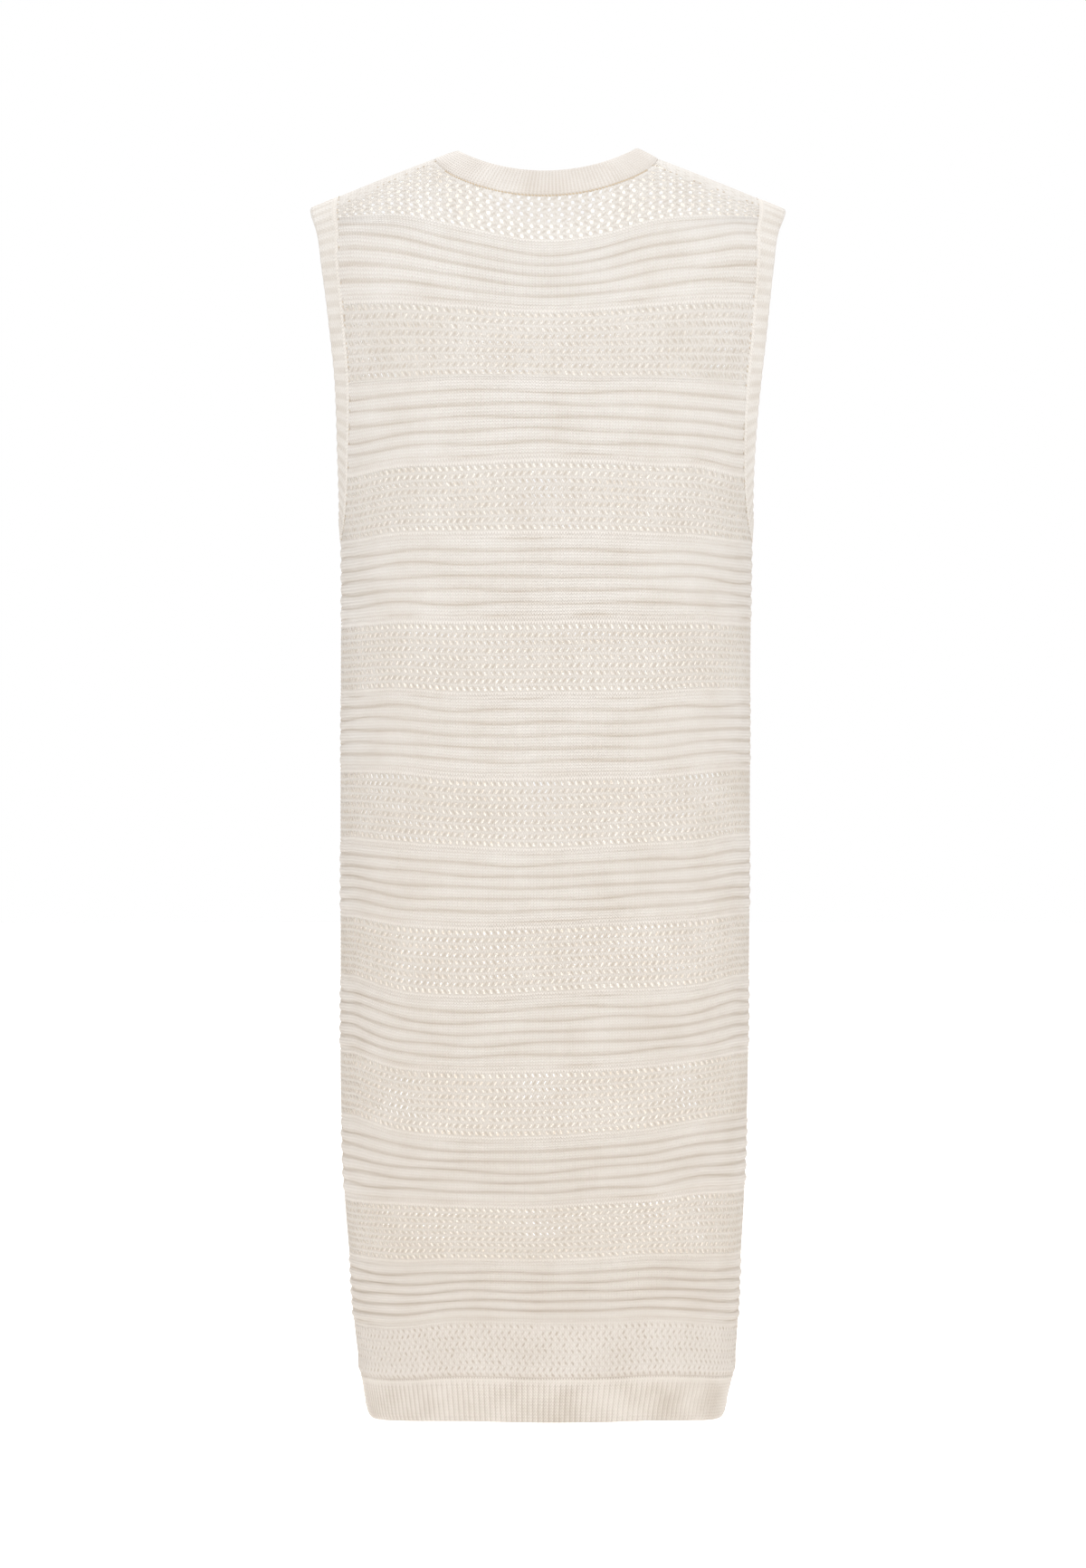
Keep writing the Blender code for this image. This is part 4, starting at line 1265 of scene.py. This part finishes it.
# %% Armhole bands
ARM_RIB, ARM_RIB_PITCH, ARM_RIB_COLUMNS = 0.0009, 0.0118, 8
ARM_STITCHES = (6.5, 3)  # across the band, and along it in a rib
ARM_PROFILE = (  # share of the band's width, lift in mm
    (0.05, -2.4), (-0.02, 0.05), (-0.13, 0.05), (-0.17, 0.3), (-0.14, 0.7), (-0.07, 0.8), (0.0, 0.6),
    (0.06, 0.3), (0.13, 0.1), (0.2, 0.1), (0.4, 0.1), (0.6, 0.1), (0.8, 0.1), (0.92, -0.05), (1.0, -0.6),
    (1.0, -1.8), (0.9, -2.4), (0.4, -2.4), (0.05, -2.4),
)
RIBS_FROM = 0.05  # the ribs reach from this share of the width to the free edge


def armhole_band(name, sign):
    columns = ARM_RIB_COLUMNS * round(armhole_length(sign) / ARM_RIB_PITCH)
    band = flat_grid(name, columns, len(ARM_PROFILE) - 1)
    flat = read_points(band)
    column, row = flat[:, 0].astype(int), -flat[:, 1].astype(int)
    share, lift = np.array(ARM_PROFILE)[row].T
    points, normals = across_band(sign, columns)(column, share)
    on_rib = (lift > -0.5) & (share > RIBS_FROM)
    rib = np.abs(np.sin(pi * column / ARM_RIB_COLUMNS)) ** 1.3 * on_rib
    # Painted shade: the colour is darker in the grooves between the ribs.
    height = np.where(on_rib, 0.2 + 0.6 * rib, 0.6)
    keep_flat_place(band, share * ARM_STITCHES[0], column * ARM_STITCHES[1] / ARM_RIB_COLUMNS, height)
    write_points(band, points + normals * (rib * ARM_RIB + lift / 1000)[:, None])
    return close_ring(band)


STITCHES = {  # pitch, half length, width and height of a stitch, lean, lift, share that isn't hidden
    "armhole_chain": (0.0030, (0.0016, 0.0007, 0.0004), 0.55, 0.0006, 1.0),
    "armhole_seam": (0.0041, (0.0013, 0.0006, 0.0005), 0.1, 0.0005, 0.5),
    "shoulder_seam": (0.0055, (0.0012, 0.0007, 0.0006), 0.2, 0.0005, 0.6),
    "side_seam": (0.0034, (0.0016, 0.0008, 0.0006), 0.3, 0.0002, 1.0),
}


def armhole_stitches(kind, label, sign, share):
    """A row of stitches round the armhole, at a share of the band's width from its seam."""
    pitch, size, lean, lift, shown = STITCHES[kind]
    count = round(armhole_length(sign) / pitch)
    kept = np.nonzero(np.random.default_rng(count).uniform(size=count) < shown)[0]
    points, normals = across_band(sign, count)(kept, np.full(len(kept), share))
    return stitch_row(f"{kind}_{label}", points + normals * lift, normals, size, lean * sign)


arm_bands = {}
for label, sign in (("left", -1), ("right", 1)):
    arm_bands[label] = (armhole_band("armhole_ribs_" + label, sign),
                        armhole_stitches("armhole_chain", label, sign, -0.06),
                        armhole_stitches("armhole_seam", label, sign, -0.20))
    print(label, "armhole band faces:", [len(piece.data.polygons) for piece in arm_bands[label]])

# %% [markdown]
# ## The hem
# The hem is knitted in fine upright ribs and is drawn in a little, so that the net swells over it. Its lower
# edge is soft and rounded. Back and front halves meet at the side seams.

# %% Hem ribs
HEM_RIBS, HEM_STITCH = 94, 0.0028
HEM_CLOTH, HEM_RIB = 0.0024, 0.0003
HEM_ROWS = (  # course, relief, height for the colour: painted shade in the crease under the net, painted light on the raised row of stitch heads
    (HEM_TOP + SEAM, 0.0, 0.0), (HEM_TOP + 0.0014, 0.0004, 0.2), (HEM_TOP + 0.0028, 0.0007, 1.0),
    (HEM_TOP + 0.0044, 0.0001, 0.9), (1.059, 0.0, 0.5), (1.066, 0.0, 0.5), (1.073, 0.0, 0.5),
    (1.080, 0.0, 0.5), (1.086, 0.0, 0.5), (1.0896, -0.0001, 0.5), (1.0913, -0.0006, 0.5),
    (HEM_EDGE, -0.0014, 0.5),
)


def hem_half(name, side):
    hem = flat_grid(name, RIB * HEM_RIBS, len(HEM_ROWS) - 1)
    flat = read_points(hem)
    column, row = flat[:, 0], -flat[:, 1].astype(int)
    course, relief, height = np.array(HEM_ROWS)[row].T
    rib = np.cos(2 * pi * column / RIB)
    relief = relief + HEM_RIB * rib * (row > 0) * (row < len(HEM_ROWS) - 1)
    turn, along, _ = chart(column / (RIB / 2 * HEM_RIBS) - 1, course)
    # painted shade in the grooves of the ribs, below the first rows
    keep_flat_place(hem, column / 2, course / HEM_STITCH, height + 0.35 * rib * (row > 3))
    return thicken(onto_form(hem, side, turn, along, relief), HEM_CLOTH)


hems = {label: hem_half("hem_ribs_" + label, side) for label, side in (("back", BACK), ("front", FRONT))}
print("hem faces:", [len(piece.data.polygons) for piece in hems.values()])

# %% [markdown]
# ## Shoulder and side seams
# The shoulder seams lie a little behind the shoulder line. Their stitches are pulled tight, and some of them
# sink into the cloth. The side seams run straight down from the armholes.

# %% Seams
SIDE_TURN = pi / 2 - 0.0001


def line_stitches(kind, label, turn, along):
    """A row of stitches along a line on the form."""
    pitch, size, lean, lift, shown = STITCHES[kind]
    line, every = on_form(BACK, turn, along), np.arange(len(turn))
    count = round(even_places(line, 8)[1] / pitch)
    places = even_places(line, count)[0][np.random.default_rng(count).uniform(size=count + 1) < shown]
    turn, along = np.interp(places, every, turn), np.interp(places, every, along)
    normals = outward(BACK, turn, along)
    return stitch_row(f"{kind}_{label}", on_form(BACK, turn, along) + normals * lift, normals, size, lean)


seams = []
for label, sign in (("left", -1), ("right", 1)):
    seams.append(line_stitches("shoulder_seam", label, *shoulder_line(BACK, sign)))
    side_along = np.linspace(UNDER_ARM + ARM_BAND + 0.002, 1.13, 200)
    side_z = on_form(BACK, np.full(len(side_along), sign * pi / 2), side_along)[:, 2]
    side_along = side_along[side_z > -HEM_EDGE + 0.004]
    seams.append(line_stitches("side_seam", label, np.full(len(side_along), sign * SIDE_TURN), side_along))
bpy.data.objects.remove(bead)
print("seams:", ", ".join(seam.name for seam in seams))

# %% White ground
GROUND_FINISH = {"Base Color": (0.9, 0.9, 0.9, 1), "Roughness": 1.0, "Emission Color": (1, 1, 1, 1),
                 "Emission Strength": 0.35}
ground, _ = new_material("white_ground", GROUND_FINISH)
floor.data.materials.clear()
floor.data.materials.append(ground)

# %% Dress every piece and hide the solid that it stands for
def dress(piece, yarn, slot_name, *nodes):
    if yarn:
        piece.data.materials.append(YARNS[yarn])
    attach(piece, "root")
    if nodes:
        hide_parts(*nodes)


for name, panel in panels.items():
    dress(panel, None, "body_knit", name.split("_")[0] + "_panel")
dress(neck_ribs, "neck", "band_rib", "neck_band")
dress(neck_seam, "seam", "band_rib")
for label, (band, chain, seam) in arm_bands.items():
    dress(band, "arm", "band_rib", "armhole_band_" + label)
    dress(chain, "chain", "band_rib")
    dress(seam, "tight", "band_rib")
for label, hem in hems.items():
    dress(hem, "hem", "hem_knit", "hem_rib_" + label)
for seam in seams:
    dress(seam, "tight" if seam.name.startswith("shoulder") else "seam", "band_rib")

# %% [markdown]
# ## How the cloth was cut
# Each sheet is listed with the flat size that it was knitted to before it was sewn and worn. The upper
# panels are as wide as the lower ones below the armholes, and narrow towards the shoulders, so their area is
# less than width by length.

# %% Measure each sheet and print it beside its flat size
CUT = (  # piece, width, length, area, held, rests on
    ("back_upper", PANEL_WIDTH, 0.545, 0.245, "hung", ("front_upper",)),
    ("front_upper", PANEL_WIDTH, 0.600, 0.258, "hung", ("back_upper",)),
    ("back_lower", PANEL_WIDTH, 0.516, None, "hung", ("back_upper",)),
    ("front_lower", PANEL_WIDTH, 0.516, None, "hung", ("front_upper",)),
    ("neck_ribs", 0.630, 0.032, None, "stretched", ("back_upper", "front_upper")),
    ("armhole_ribs_left", 0.731, 0.022, None, "stretched", ("back_upper", "front_upper")),
    ("armhole_ribs_right", 0.731, 0.022, None, "stretched", ("back_upper", "front_upper")),
    ("hem_ribs_back", 0.480, 0.041, None, "stretched", ("back_lower",)),
    ("hem_ribs_front", 0.480, 0.041, None, "stretched", ("front_lower",)),
)
{"armhole_ribs_" + label: list(pieces[1:]) for label, pieces in arm_bands.items()}


def cloth_area(piece):
    areas = np.empty(len(piece.data.polygons))
    piece.data.polygons.foreach_get("area", areas)
    return areas.sum() / 2


print("neckline:", round(even_places(NECK_LINE, 8)[1], 3), "armhole:", round(armhole_length(1), 3))
for name, width, length, area, held, rests_on in CUT:
    piece = bpy.data.objects[name]
    print(name, "cloth area:", round(cloth_area(piece), 4), "flat:", width, "x", length)
